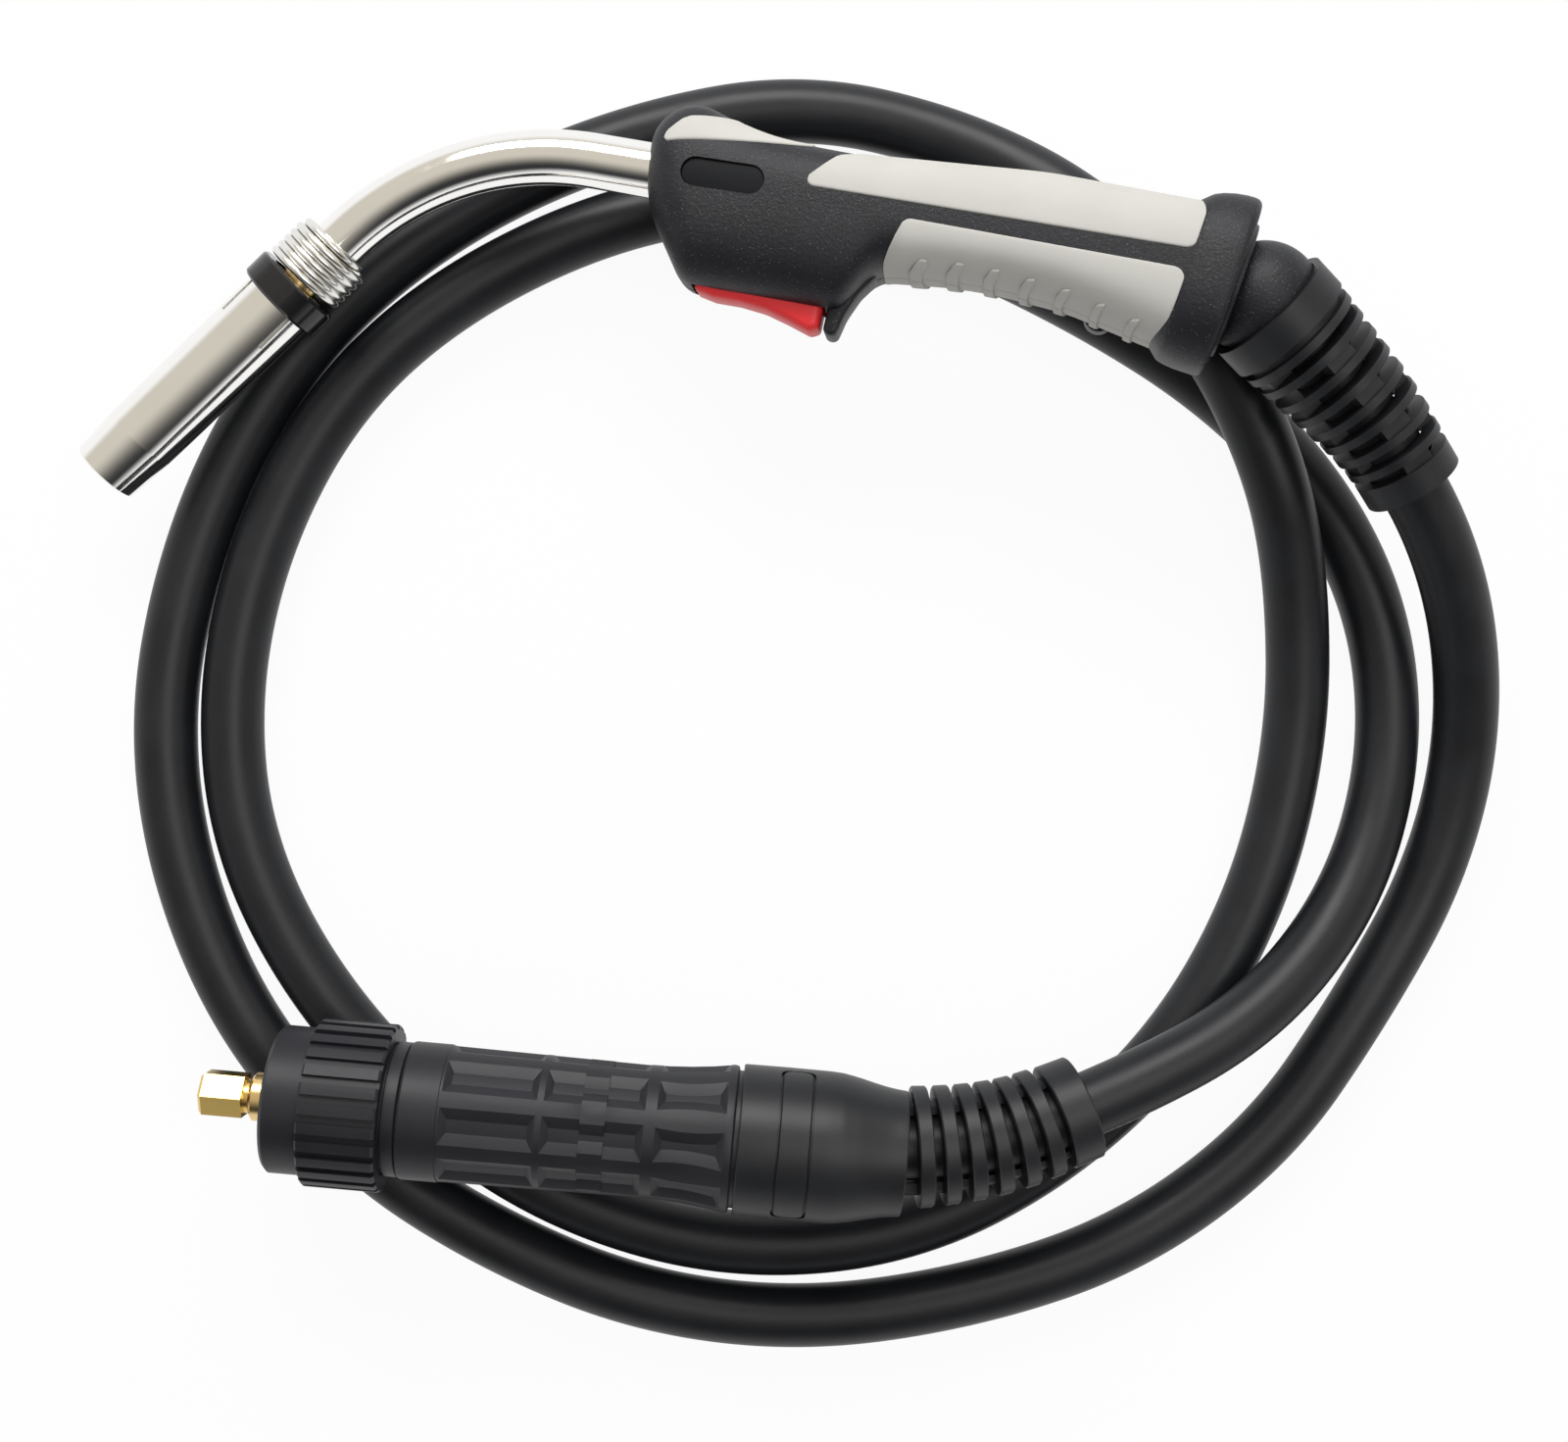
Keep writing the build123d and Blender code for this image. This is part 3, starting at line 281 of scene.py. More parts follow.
cable_curve = route_curve("power_cable_line")
cable_curve.bevel_depth = cable_dia / 2 * MM
cable_curve.bevel_resolution = 10
cable_curve.use_fill_caps = True
cable = bpy.data.objects.new("cable", cable_curve)
bpy.context.scene.collection.objects.link(cable)
dress(cable, "cable_rubber")
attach(cable, "cable_and_plug")
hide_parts("power_cable")

# ---------------------------------------------------------------- mesh helpers
def mark(mesh, crease):
    """Smooth faces with sharp edges where the surface turns by more than crease degrees."""
    work = bmesh.new()
    work.from_mesh(mesh)
    for face in work.faces:
        face.smooth = True
    for edge in work.edges:
        edge.smooth = len(edge.link_faces) == 2 and edge.calc_face_angle(0) < math.radians(crease)
    work.to_mesh(mesh)
    work.free()


def loose(name, work, place):
    """An object from a mesh that was made in a frame's millimetres."""
    bmesh.ops.remove_doubles(work, verts=work.verts, dist=2e-3)
    bmesh.ops.dissolve_degenerate(work, edges=work.edges, dist=1e-3)
    bmesh.ops.recalc_face_normals(work, faces=work.faces)
    bmesh.ops.transform(work, matrix=Matrix.Scale(MM, 4) @ place, verts=work.verts)
    mesh = bpy.data.meshes.new(name)
    work.to_mesh(mesh)
    work.free()
    made = bpy.data.objects.new(name, mesh)
    bpy.context.scene.collection.objects.link(made)
    return made


def settle(name, work, slot, body, place, replaces=(), crease=30, cutters=()):
    """Finishes a piece: cuts other meshes out of it, marks its edges, dresses it and lets it ride."""
    made = loose(name, work, place)
    if cutters:
        for cutter in cutters:
            cut = made.modifiers.new("cut", "BOOLEAN")
            cut.operation, cut.solver, cut.object = "DIFFERENCE", "EXACT", cutter
        bpy.context.view_layer.update()
        graph = bpy.context.evaluated_depsgraph_get()
        mesh = bpy.data.meshes.new_from_object(made.evaluated_get(graph))
        made.modifiers.clear()
        made.data = mesh
    mark(made.data, crease)
    dress(made, slot)
    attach(made, body)
    if replaces:
        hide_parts(*replaces)
    return made


def soften(obj, width):
    """Breaks the sharp edges of an object by a small rounding."""
    bevel = obj.modifiers.new("soften", "BEVEL")
    bevel.width, bevel.segments = width * MM, 2
    bevel.limit_method, bevel.angle_limit = "ANGLE", math.radians(38)
    bevel.harden_normals = False


def tube(work, rows, caps="fan", loop=False):
    """Joins closed rows of points into a skin. Its ends are fans, strips across flat rows, or open."""
    made = [[work.verts.new(point) for point in row] for row in rows]
    for one, other in list(zip(made, made[1:])) + ([(made[-1], made[0])] if loop else []):
        for i in range(len(one)):
            j = (i + 1) % len(one)
            work.faces.new((one[i], one[j], other[j], other[i]))
    for row in (made[0], made[-1]) if not loop else ():
        if caps == "fan":
            work.faces.new(row)
        elif caps == "strip":
            for i in range(len(row) // 2 - 1):
                work.faces.new((row[i], row[i + 1], row[-2 - i], row[-1 - i]))
    return made


def spun(work, profile, turns=96):
    """A solid of revolution about the frame's X axis from a closed profile of (x, radius)."""
    rows = []
    for k in range(turns):
        a = math.tau * k / turns
        rows.append([(x, r * math.cos(a), r * math.sin(a)) for x, r in profile])
    tube(work, rows, loop=True)


def rounded(points, radii, steps=6):
    """A closed outline with each corner turned into an arc of its radius."""
    made = []
    for i, (here, radius) in enumerate(zip(points, radii)):
        here = Vector(here)
        if not radius:
            made.append(tuple(here))
            continue
        back = (Vector(points[i - 1]) - here).normalized()
        on = (Vector(points[(i + 1) % len(points)]) - here).normalized()
        half = back.angle(on) / 2
        centre = here + (back + on).normalized() * radius / math.sin(half)
        start = here + back * radius / math.tan(half) - centre
        end = here + on * radius / math.tan(half) - centre
        for k in range(steps + 1):
            arm = start.lerp(end, k / steps).normalized() * radius
            made.append(tuple(centre + arm))
    return made


def even(points, step):
    """Points at even steps along a line."""
    points = np.array([tuple(point) for point in points], float)
    run = np.concatenate([[0], np.cumsum(np.linalg.norm(np.diff(points, axis=0), axis=1))])
    places = np.linspace(0, run[-1], max(2, round(run[-1] / step) + 1))
    return np.column_stack([np.interp(places, run, points[:, k]) for k in range(points.shape[1])])


def anticlockwise(points):
    """The outline's points in anticlockwise order."""
    points = np.array(points, float)
    ahead = np.roll(points, -1, 0)
    area = np.sum(points[:, 0] * ahead[:, 1] - ahead[:, 0] * points[:, 1])
    return points if area > 0 else points[::-1]


def inset(points, distance):
    """An anticlockwise outline moved inwards."""
    before, after = points - np.roll(points, 1, 0), np.roll(points, -1, 0) - points
    turns = []
    for run in (before, after):
        run = run / np.maximum(np.linalg.norm(run, axis=1), 1e-9)[:, None]
        turns.append(np.column_stack([-run[:, 1], run[:, 0]]))
    middle = turns[0] + turns[1]
    middle /= np.linalg.norm(middle, axis=1)[:, None]
    reach = distance / np.maximum(np.sum(middle * turns[0], axis=1), 0.4)
    return points + middle * reach[:, None]


def slab(work, outline, levels):
    """A plate from an outline: levels are (height, inset), and a height may depend on the point."""
    outline = anticlockwise(outline)
    rows = []
    for height, reach in levels:
        row = inset(outline, reach)
        rows.append([(x, y, height(x, y) if callable(height) else height) for x, y in row])
    tube(work, rows)


# ---------------------------------------------------------------- handle
handle_half = 18.0
handle_fullness = (3.0, 2.9)  # of its section towards the trigger and towards the back
collar_slope = math.radians(-8.0)
collar_slant = 0.1405  # of the handle's rear face, square to the collar
collar_start = -20.5
spine_front = -148.0
ray_step, fine_ray_step = 1.3, 0.25  # between the rays of the shells and of the pieces let into them
section_points = 26


def rear_corner(y):
    """A point of the handle's rear face."""
    middle_x, middle_y = collar_start * math.cos(collar_slope), collar_start * math.sin(collar_slope)
    return (middle_x + (y - middle_y) * collar_slant, y)


handle_corners = [
    rear_corner(20.6), (-60, 21.5), (-108, 18.2), (-134, 18.9), (-154.4, 25.8), (-165.2, 18.4),
    (-163.2, -3.4), (-149.8, -22.7), (-107.2, -22.9), (-99.4, -10.5), (-74, -7.9), (-49, -10.2),
    rear_corner(-16.4),
]
handle_radii = [0, 120, 90, 60, 10.5, 12, 30, 7, 5, 10, 120, 60, 0]
outline = even(rounded(handle_corners, handle_radii, 12), 0.25)
foremost = int(np.argmin(outline[:, 0]))
upper, lower = outline[: foremost + 1][::-1], outline[foremost:]


def rays(step):
    """The handle's rays in its middle plane: points of its outline and of its spine, in pairs."""
    count = round((outline[0, 0] - spine_front) / step)
    share = np.linspace(0, 1, count + 1)
    tops, bottoms = (start + (spine_front - start) * share for start in (outline[0, 0], outline[-1, 0]))
    top = np.column_stack([tops, np.interp(tops, upper[:, 0], upper[:, 1])])
    bottom = np.column_stack([bottoms, np.interp(bottoms, lower[:, 0], lower[:, 1])])
    spine = (top + bottom) / 2
    spine[:, 1] = np.interp(spine[:, 0], [-148, -122, -95, -20], [0.5, 2.0, 2.9, 2.7])  # between the pads
    nose = even(outline[outline[:, 0] < spine_front - 0.3], step)
    edge = np.vstack([top, nose, bottom[::-1]])
    return edge, np.vstack([spine, np.repeat(spine[-1:], len(nose), 0), spine[::-1]])


section_angles = np.linspace(0, math.pi / 2, 1500)


def bow(edge, spine):
    """The handle's section along one ray, as shares of its reach and of its half thickness."""
    back = (edge - spine)[1] / np.linalg.norm(edge - spine)
    full = handle_fullness[0] + (handle_fullness[1] - handle_fullness[0]) * (0.5 + 0.5 * back)
    return np.column_stack([np.cos(section_angles) ** (2 / full), np.sin(section_angles) ** (2 / full)])


def skin(edge, spine, bows, grow=0.0):
    """Points on the handle's near side: bows run from its joint plane to its spine."""
    run = edge - spine
    reach = np.linalg.norm(run, axis=-1, keepdims=True)
    flat = spine + run / reach * (reach + grow) * bows[..., :1]
    return np.concatenate([flat, (handle_half + grow) * bows[..., 1:]], axis=-1)


def handed(points, side):
    """Points on one side of the handle from the near side's."""
    return [(x, y, side * z) for x, y, z in points]


def half_handle(side):
    """One half of the handle's body, closed at its joint plane and at its rear."""
    work = bmesh.new()
    edge, spine = rays(ray_step)
    rows = []
    for e, s in zip(edge, spine):
        section = even(bow(e, s), 0.001)
        section = section[np.linspace(0, len(section) - 1, section_points).astype(int)]
        # the first two points make the groove between the halves
        bows = np.vstack([[(0.984, 0.004), (1.0, 0.025)], section[1:]])
        rows.append([work.verts.new(p) for p in handed(skin(e, s, bows), side)])
    for one, other in zip(rows, rows[1:]):
        for i in range(len(one) - 1):
            work.faces.new((one[i], one[i + 1], other[i + 1], other[i]))
    work.faces.new([row[0] for row in rows])
    work.faces.new(rows[0] + rows[-1][::-1])
    return work


bow_parts = 700  # of a section's unit length, in the tables of patch
usual_reach = 17  # of the handle's skin from its spine, in mm
patch_depth = 1.2


def patch(work, polygon, side, lift, spread=1.1):
    """A thin piece let into the handle's skin inside a convex polygon, with a rounded rim."""
    polygon = anticlockwise(polygon)
    ahead = np.roll(polygon, -1, 0) - polygon
    edge, spine = rays(fine_ray_step)
    low, high = polygon.min(0), polygon.max(0)
    near = (np.minimum(edge[:, 0], spine[:, 0]) < high[0]) & (np.maximum(edge[:, 0], spine[:, 0]) > low[0])
    spans = []
    for e, s in zip(edge[near], spine[near]):
        table = even(bow(e, s), 1 / bow_parts)
        length = np.arange(len(table)) / bow_parts
        flat = s + (e - s) * table[:, :1]
        away = flat[:, None] - polygon
        crosses = ahead[:, 0] * away[..., 1] - ahead[:, 1] * away[..., 0]
        inside = np.nonzero((crosses >= 0).all(axis=1))[0]
        if len(inside) > 2:
            spans.append((e, s, length[inside[0]], length[inside[-1]], length, table))
    last = len(spans) - 1
    between = range(4, last - 4, max(1, round(spread / fine_ray_step)))
    wanted = sorted({0, 1, 2, 4, last - 4, last - 2, last - 1, last, *between})
    rim = np.array([0, 0.12, 0.3, 0.6])
    size = max(span[3] - span[2] for span in spans) * usual_reach
    inner = max(2, round(size / spread))
    rows = []
    for k in (k for k in wanted if 0 <= k <= last):
        e, s, begin, end, length, table = spans[k]
        scale = np.linalg.norm(e - s) * 0.5 + handle_half * 0.5
        span = (end - begin) * scale
        edges = rim * min(1, span / 1.6)
        middle = np.linspace(edges[-1], span - edges[-1], inner)
        places = np.concatenate([edges[:-1], middle, span - edges[:-1][::-1]])
        far = np.minimum(np.minimum(places, span - places), min(k, last - k) * fine_ray_step)
        rise = np.interp(far, rim, [-0.5, lift * 0.45, lift * 0.85, lift])
        at = begin + places / scale
        bows = np.column_stack([np.interp(at, length, table[:, i]) for i in (0, 1)])
        bows[:, 1] = np.maximum(bows[:, 1], 0.006)
        top = [skin(e, s, b[None], g)[0] for b, g in zip(bows, rise)]
        under = [skin(e, s, b[None], -patch_depth)[0] for b in bows]
        rows.append(handed(top + under[::-1], side))
    tube(work, rows, caps="strip")


sides = {"near": 1, "far": -1}
screw_room_radius, screw_floor, screw_out = 2.95, -16.45, -24
screw_spots = [(-154.0, -9.0), (-104.0, -6.2), (-45.0, 15.4), (-40.0, -8.6)]
badge_at, badge_turn = Vector((-142.0, 4.1)), math.radians(1.0)
badge_length, badge_width, badge_gap = 21.8, 7.4, 0.3
badge_floor, badge_out = 16.4, 22


def stadium(length, width, steps=12):
    """A slot's outline round the badge's centre."""
    made = []
    for end in (1, -1):
        for k in range(steps + 1):
            a = math.pi * k / steps - math.pi / 2
            x, y = end * ((length - width) / 2 + width / 2 * math.cos(a)), end * width / 2 * math.sin(a)
            made.append((
                badge_at.x + x * math.cos(badge_turn) - y * math.sin(badge_turn),
                badge_at.y + x * math.sin(badge_turn) + y * math.cos(badge_turn),
            ))
    return made


def disc(centre, radius, steps=32):
    """A circle's outline."""
    turns = [math.tau * k / steps for k in range(steps)]
    return [(centre[0] + radius * math.cos(a), centre[1] + radius * math.sin(a)) for a in turns]


def cutter(name, outline, low, high):
    """A prism that is cut out of pieces and then removed."""
    work = bmesh.new()
    slab(work, outline, [(low, 0), (high, 0)])
    return loose(name, work, torch)


trigger_room = cutter("trigger_room", [(-146.9, -36), (-110.7, -36), (-110.7, -15.2), (-146.9, -15.2)], -6, 6)
badge_rooms = {}
for name, side in sides.items():
    badge_outline = stadium(badge_length + badge_gap, badge_width + badge_gap)
    low, high = sorted((side * badge_floor, side * badge_out))
    badge_rooms[name] = cutter(f"badge_room_{name}", badge_outline, low, high)
screw_rooms = [
    cutter(f"screw_room_{k}", disc(spot, screw_room_radius), screw_out, screw_floor)
    for k, spot in enumerate(screw_spots)
]

for name, side in sides.items():
    cuts = [trigger_room, badge_rooms[name]] + (screw_rooms if side < 0 else [])
    shell = half_handle(side)
    settle(f"shell_{name}", shell, "shell_plastic", "handle", torch, [f"handle_shell_{name}"], 26, cuts)

# bosses round the two rear screws, whose heads stand above the crowned skin
bosses = bmesh.new()
for spot in screw_spots[2:]:
    slab(bosses, disc(spot, 4.0, 48), [(-12, 0), (-16.4, 0), (-16.8, 0.15), (-17.0, 0.5)])
settle("screw_bosses", bosses, "shell_plastic", "handle", torch, (), 34, screw_rooms[2:])

# the guard behind the trigger
guard_outline = rounded(
    [(-112, -17), (-110.2, -21.5), (-110.4, -29.0), (-106.9, -29.3), (-105.4, -22.9), (-102.8, -17.0),
     (-99.4, -12.4), (-98.6, -9)],
    [0, 1, 1.8, 1.8, 14, 10, 4, 0], 7,
)
guard = bmesh.new()
rim = ((4.2, 0), (4.7, 0.2), (5.1, 0.5), (5.3, 0.9))
slab(guard, guard_outline, [(-z, reach) for z, reach in rim[::-1]] + list(rim))
settle("trigger_guard", guard, "shell_plastic", "handle", torch, (), 34)

# soft pads and their ribs
pad_rear_x, pad_rear_y, pad_rear_slant = -20.5, 2.8, 0.14  # the line where the pads meet the collar
pads = {
    "front_pad": ([(-159.9, 10.7), (-121, 16.85), (-121, 24.6), (-134, 22.3), (-150.4, 20.5), (-155.6, 17.7),
                   (-158.9, 14)], [1.2, 0, 0, 0, 3, 3, 1.5]),
    "upper_pad": ([(-122.4, 5.0), (-20.4, 5.2), rear_corner(18.0), rear_corner(32), (-84, 25.5), (-98, 20.8),
                   (-113.6, 15.0)], [1.8, 2.6, 0, 0, 0, 0, 2.5]),
    "lower_pad": ([(-98.4, -12.5), (-93.6, 1.1), (-20.9, 0.2), (-25.2, -27), (-98.4, -27)],
                  [3, 2.6, 3, 0, 0]),
}
rib_count, rib_first, rib_pitch = 7, -86.4, 9.32
for name, side in sides.items():
    for pad, (points, radii) in pads.items():
        if pad != "lower_pad":
            points = [(min(x, pad_rear_x + (y - pad_rear_y) * pad_rear_slant), y) for x, y in points]
        work = bmesh.new()
        patch(work, rounded(points, radii, 5), side, 0.4)
        cuts = screw_rooms[2:] if side < 0 and pad != "front_pad" else ()
        settle(f"{pad}_{name}_skin", work, "pad_rubber", "handle", torch, [f"{pad}_{name}"], 40, cuts)
    ribs = bmesh.new()
    for k in range(rib_count):
        x = rib_first + rib_pitch * k
        y = float(np.interp(x, lower[:, 0], lower[:, 1])) + 2.0
        points = [(x - 1.6, y - 0.1), (x + 1.7, y), (x - 13.3, y - 12), (x - 16.6, y - 12)]
        patch(ribs, rounded(points, [0.5, 0.5, 0, 0], 3), side, 1.1, 0.6)
    settle(f"pad_ribs_{name}", ribs, "pad_rubber", "handle", torch, (), 40)
    badge = bmesh.new()
    levels = [(side * 15.5, 0), (side * 16.9, 0), (side * 17.05, 0.12), (side * 17.1, 0.35)]
    slab(badge, stadium(badge_length, badge_width), levels)
    settle(f"badge_{name}_plate", badge, "badge_plastic", "handle", torch, [f"badge_{name}"])

trigger_blade = bmesh.new()
blade_outline = rounded(
    [(-146.2, -18.2), (-146.2, -23.2), (-141.0, -24.3), (-134, -24.3), (-127, -25.1), (-120.5, -26.9),
     (-114.0, -29.0), (-111.6, -27.8), (-111.4, -18.2)],
    [0, 1.2, 4, 12, 12, 12, 2.0, 1.4, 0], 6,
)
slab(trigger_blade, blade_outline, [
    (-5.5, 1.5), (-5.2, 0.9), (-4.6, 0.35), (-3.8, 0), (3.8, 0), (4.6, 0.35), (5.2, 0.9), (5.5, 1.5),
])
settle("trigger_blade", trigger_blade, "trigger_red", "trigger", torch, ["trigger"], 34)

# the collar behind the handle, with its lip and the socket of the swivel
collar_steps = 96
collar_place = torch @ Matrix.Rotation(collar_slope, 4, "Z")
# along the collar: x, the section's middle, half its height, half its thickness, its fullness
collar_sections = [
    (-24, -0.7, 18.5, 16.2, 2.8), (-20.9, -0.7, 21.2, 17.85, 2.8), (-20.2, -0.65, 21.6, 18.15, 2.8),
    (-18.3, -0.45, 22.3, 18.6, 2.7), (-15.4, -0.2, 22.9, 19.1, 2.6), (-12.4, 0, 23.2, 19.4, 2.5),
    (-10.2, 0, 23.25, 19.45, 2.5), (-9.2, 0, 23.05, 19.3, 2.5), (-8.5, 0, 22.55, 18.85, 2.5),
    (-8.1, 0, 21.9, 18.2, 2.5), (-8.0, 0, 21.2, 17.6, 2.5), (-8.0, 0, 17.6, 16.9, 2.1),
    (-7.1, 0, 17.4, 16.7, 2), (-6.9, 0, 17.1, 16.4, 2), (-6.9, 0, 16.5, 15.9, 2), (-7.1, 0, 16.2, 15.6, 2),
    (-8.4, 0, 15.3, 15.3, 2), (-8.6, 0, 13.4, 13.4, 2), (-11, 0, 10.8, 10.8, 2), (-13.5, 0, 7.4, 7.4, 2),
    (-14.9, 0, 3.6, 3.6, 2),
]
collar = bmesh.new()
rows = []
for x, middle, half_y, half_z, fullness in collar_sections:
    row = []
    power = 2 / fullness
    for k in range(collar_steps):
        c, s = math.cos(math.tau * k / collar_steps), math.sin(math.tau * k / collar_steps)
        row.append((
            x, middle + half_y * math.copysign(abs(c) ** power, c), half_z * math.copysign(abs(s) ** power, s)
        ))
    rows.append(row)
tube(collar, rows)
settle("rear_collar_form", collar, "shell_plastic", "handle", collar_place, ["rear_collar"], 34)

# ---------------------------------------------------------------- neck spring
neck_bend_radius = 80.0
neck_offset = 7.0
neck_bend_start = -180.0
neck_end = Vector((
    neck_bend_start - neck_bend_radius * math.sin(neck_bend_angle),
    neck_offset - neck_bend_radius * (1 - math.cos(neck_bend_angle)), 0,
))
nozzle_y = torch_z.cross(nozzle_dir)
nozzle = frame_matrix(torch @ neck_end, nozzle_dir, nozzle_y, torch_z)
spring_turns, spring_wire = 5.75, 2.3
spring_from, spring_to = 1.8, 15.0
spring_first, spring_last = 8.45, 10.3  # radius of the wire's middle, on the neck and over its turns
spring = bmesh.new()
rows = []
steps = round(spring_turns * 40)
for k in range(steps + 1):
    share = k / steps
    a = math.tau * spring_turns * share
    middle = spring_first + (spring_last - spring_first) * min(1.0, share * 6) ** 0.7
    x = spring_from + (spring_to - spring_from) * share
    row = []
    for i in range(12):
        b = math.tau * i / 12
        r = middle + spring_wire / 2 * math.cos(b)
        row.append((x + spring_wire / 2 * math.sin(b), r * math.cos(a), r * math.sin(a)))
    rows.append(row)
tube(spring, rows)
settle("spring_wire", spring, "steel", "handle", nozzle, ["nozzle_spring"], 60)

# ---------------------------------------------------------------- machine plug
grip_start, grip_end = 23.2, 111.0
grip_depth, wall_x, wall_side = 1.5, 1.9, 3.0
grip_row_turn = math.radians(0.5)
grip_profile = [
    (grip_start, 17.6), (23.4, 18.0), (23.9, 18.2), (33.6, 18.2), (33.75, 17.95), (60, 17.7), (86, 17.45),
    (92, 17.55), (98, 17.9), (104, 18.55), (108, 19.2), (109.6, 19.45), (110.5, 19.3),
    (110.9, 18.9), (grip_end, 18.3),
]
profile_x, profile_r = zip(*grip_profile)


pockets = ((34.4, 59.2), (60.9, 87.4), (90.4, 108.6))  # start and end of each of their rows
pocket_side = 4.95  # half a pocket's width
waist, waist_cut, waist_edge = (70.8, 77.3), 1.1, 0.02  # where the middle pockets are narrower
flare_length = 18.2  # of the last row, whose pockets follow the grip's flare
flare_places = (94.5, 96.5, 99.5, 102, 105)


def pocket_half(x):
    """Half a grip pocket's width at a place along the plug, and the place's distance from its ends."""
    for start, end in pockets:
        if start <= x <= end:
            run_in = min(x - start, end - x)
            if start != pockets[-1][0]:
                return pocket_side - (waist_cut if waist[0] < x < waist[1] else 0), run_in
            share = (x - start) / flare_length
            return 4.6 - 3.2 * share * (1 - share) + 0.5 * share, run_in
    return pocket_side, 0.0


stations = {*profile_x, *flare_places}
for start, end in pockets:
    for wall in (0, wall_x / 2, wall_x):
        stations |= {round(start + wall, 2), round(end - wall, 2)}
for place in waist:
    stations |= {round(place - waist_edge, 2), round(place + waist_edge, 2)}
grip = bmesh.new()
rows, depths = [], []
for x in sorted(stations):
    half, run_in = pocket_half(x)
    radius = float(np.interp(x, profile_x, profile_r))
    row, deep = [], []
    for k in range(8):
        middle = grip_row_turn + math.tau * k / 8
        half_pitch = math.pi * radius / 8
        places = [-half, -half + wall_side / 2, -half + wall_side, 0, half - wall_side, half - wall_side / 2]
        places += [half, half + (half_pitch - half) * 0.66, half_pitch + (half_pitch - half) * 0.34]
        for place in places:
            down = grip_depth * min(1.0, run_in / wall_x, max(0.0, half - abs(place)) / wall_side)
            if abs(place) > half - 0.001:
                down = 0.0
            a = middle + place / radius
            row.append((x, (radius - down) * math.sin(a), (radius - down) * math.cos(a)))
            deep.append(down)
    rows.append(row)
    depths.append(deep)
made = tube(grip, rows, caps="open")
grip.faces.ensure_lookup_table()
count = len(rows[0])
for n in range(len(rows) - 1):
    for i in range(count):
        j = (i + 1) % count
        if max(depths[n][i], depths[n][j], depths[n + 1][i], depths[n + 1][j]) > 0:
            face = grip.faces[n * count + i]
            one, other = (made[n][i], made[n + 1][j]), (made[n][j], made[n + 1][i])
            span = abs(depths[n][i] - depths[n + 1][j]), abs(depths[n][j] - depths[n + 1][i])
            bmesh.utils.face_split(face, *(one if span[0] > span[1] else other))
            grip.faces.ensure_lookup_table()
inner = [(grip_end, 9.1), (107.5, 9.1), (107.5, 14.0), (grip_start, 14.6)]
rings = [made[-1]]
angles = [math.atan2(v.co.y, v.co.z) for v in made[-1]]
for x, r in inner:
    rings.append([grip.verts.new((x, r * math.sin(a), r * math.cos(a))) for a in angles])
rings.append(made[0])
for one, other in zip(rings, rings[1:]):
    for i in range(count):
        j = (i + 1) % count
        grip.faces.new((one[i], one[j], other[j], other[i]))
settle("grip_sleeve", grip, "plug_plastic", "cable_and_plug", plug, ["plug_grip"], 19)

sleeve = bmesh.new()
spun(sleeve, [
    (19.3, 17.1), (19.3, 17.5), (19.6, 17.75), (22.7, 17.75), (23.0, 17.5), (23.3, 16.9), (23.3, 16.5),
    (19.3, 16.5),
])
settle("housing_sleeve", sleeve, "plug_plastic", "cable_and_plug", plug)

# boot on the plug: its body with the recessed name panel left blank
boot_profile = rounded(
    [(110.9, 9.2), (110.9, 18.1), (112.1, 18.1), (112.1, 19.9), (124, 20.0), (135.5, 19.95), (139, 19.75),
     (143.6, 18.85), (147.3, 17.95), (152, 16.9), (156.5, 16.5), (156.5, 9.2)],
    [0, 0, 0, 0.5, 60, 30, 18, 30, 30, 40, 0.4, 0], 5,
)
boot_radius = 20
panel_steps, panel_corner, panel_edge = 24, 2.5, 0.35
panel_x, panel_turn, panel_span = (122.1, 131.3), math.radians(10.7), math.radians(72)


def bent_plate(low, high, spare):
    """A plate bent round the plug's axis with rounded corners, as a mesh in the making."""
    begin, end = panel_x[0] + spare, panel_x[1] - spare
    reach = panel_span * boot_radius - spare
    straight = reach - panel_corner
    bends = [reach - panel_corner * (1 - math.cos(math.radians(t))) for t in range(0, 91, 15)]
    flats = [reach * k / panel_steps for k in range(panel_steps)]
    places = sorted({round(place, 4) for place in bends} | {place for place in flats if place < straight})
    edge = min(panel_edge, spare)
    rows = []
    for place in [-p for p in reversed(places)] + places[1:]:
        over = max(0.0, abs(place) - straight)
        cut = panel_corner - math.sqrt(max(0.0, panel_corner**2 - over**2))
        a = panel_turn + place / boot_radius
        rows.append([
            (x, r * math.sin(a), r * math.cos(a))
            for x, r in ((begin + cut, low), (begin + cut, high - edge), (begin + cut + edge, high),
                         (end - cut - edge, high), (end - cut, high - edge), (end - cut, low))
        ])
    work = bmesh.new()
    tube(work, rows)
    return work


panel_room = loose("panel_room", bent_plate(19.2, 21.0, 0.0), plug)
boot_body = bmesh.new()
spun(boot_body, boot_profile, 128)
settle("boot_body", boot_body, "boot_rubber", "cable_and_plug", plug, ["plug_boot"], 34, [panel_room])
settle("boot_panel", bent_plate(18.9, 19.97, 0.5), "boot_rubber", "cable_and_plug", plug, (), 34)

# washers of the plug's boot, along the cable's own line
line_object = bpy.data.objects.new("line", route_curve("line"))
bpy.context.scene.collection.objects.link(line_object)
bpy.context.view_layer.update()
line_mesh = bpy.data.meshes.new_from_object(line_object)
line_step = 0.5
route_line = even([tuple(v.co / MM) for v in line_mesh.vertices][::-1], line_step)
bpy.data.objects.remove(line_object)
bpy.data.meshes.remove(line_mesh)


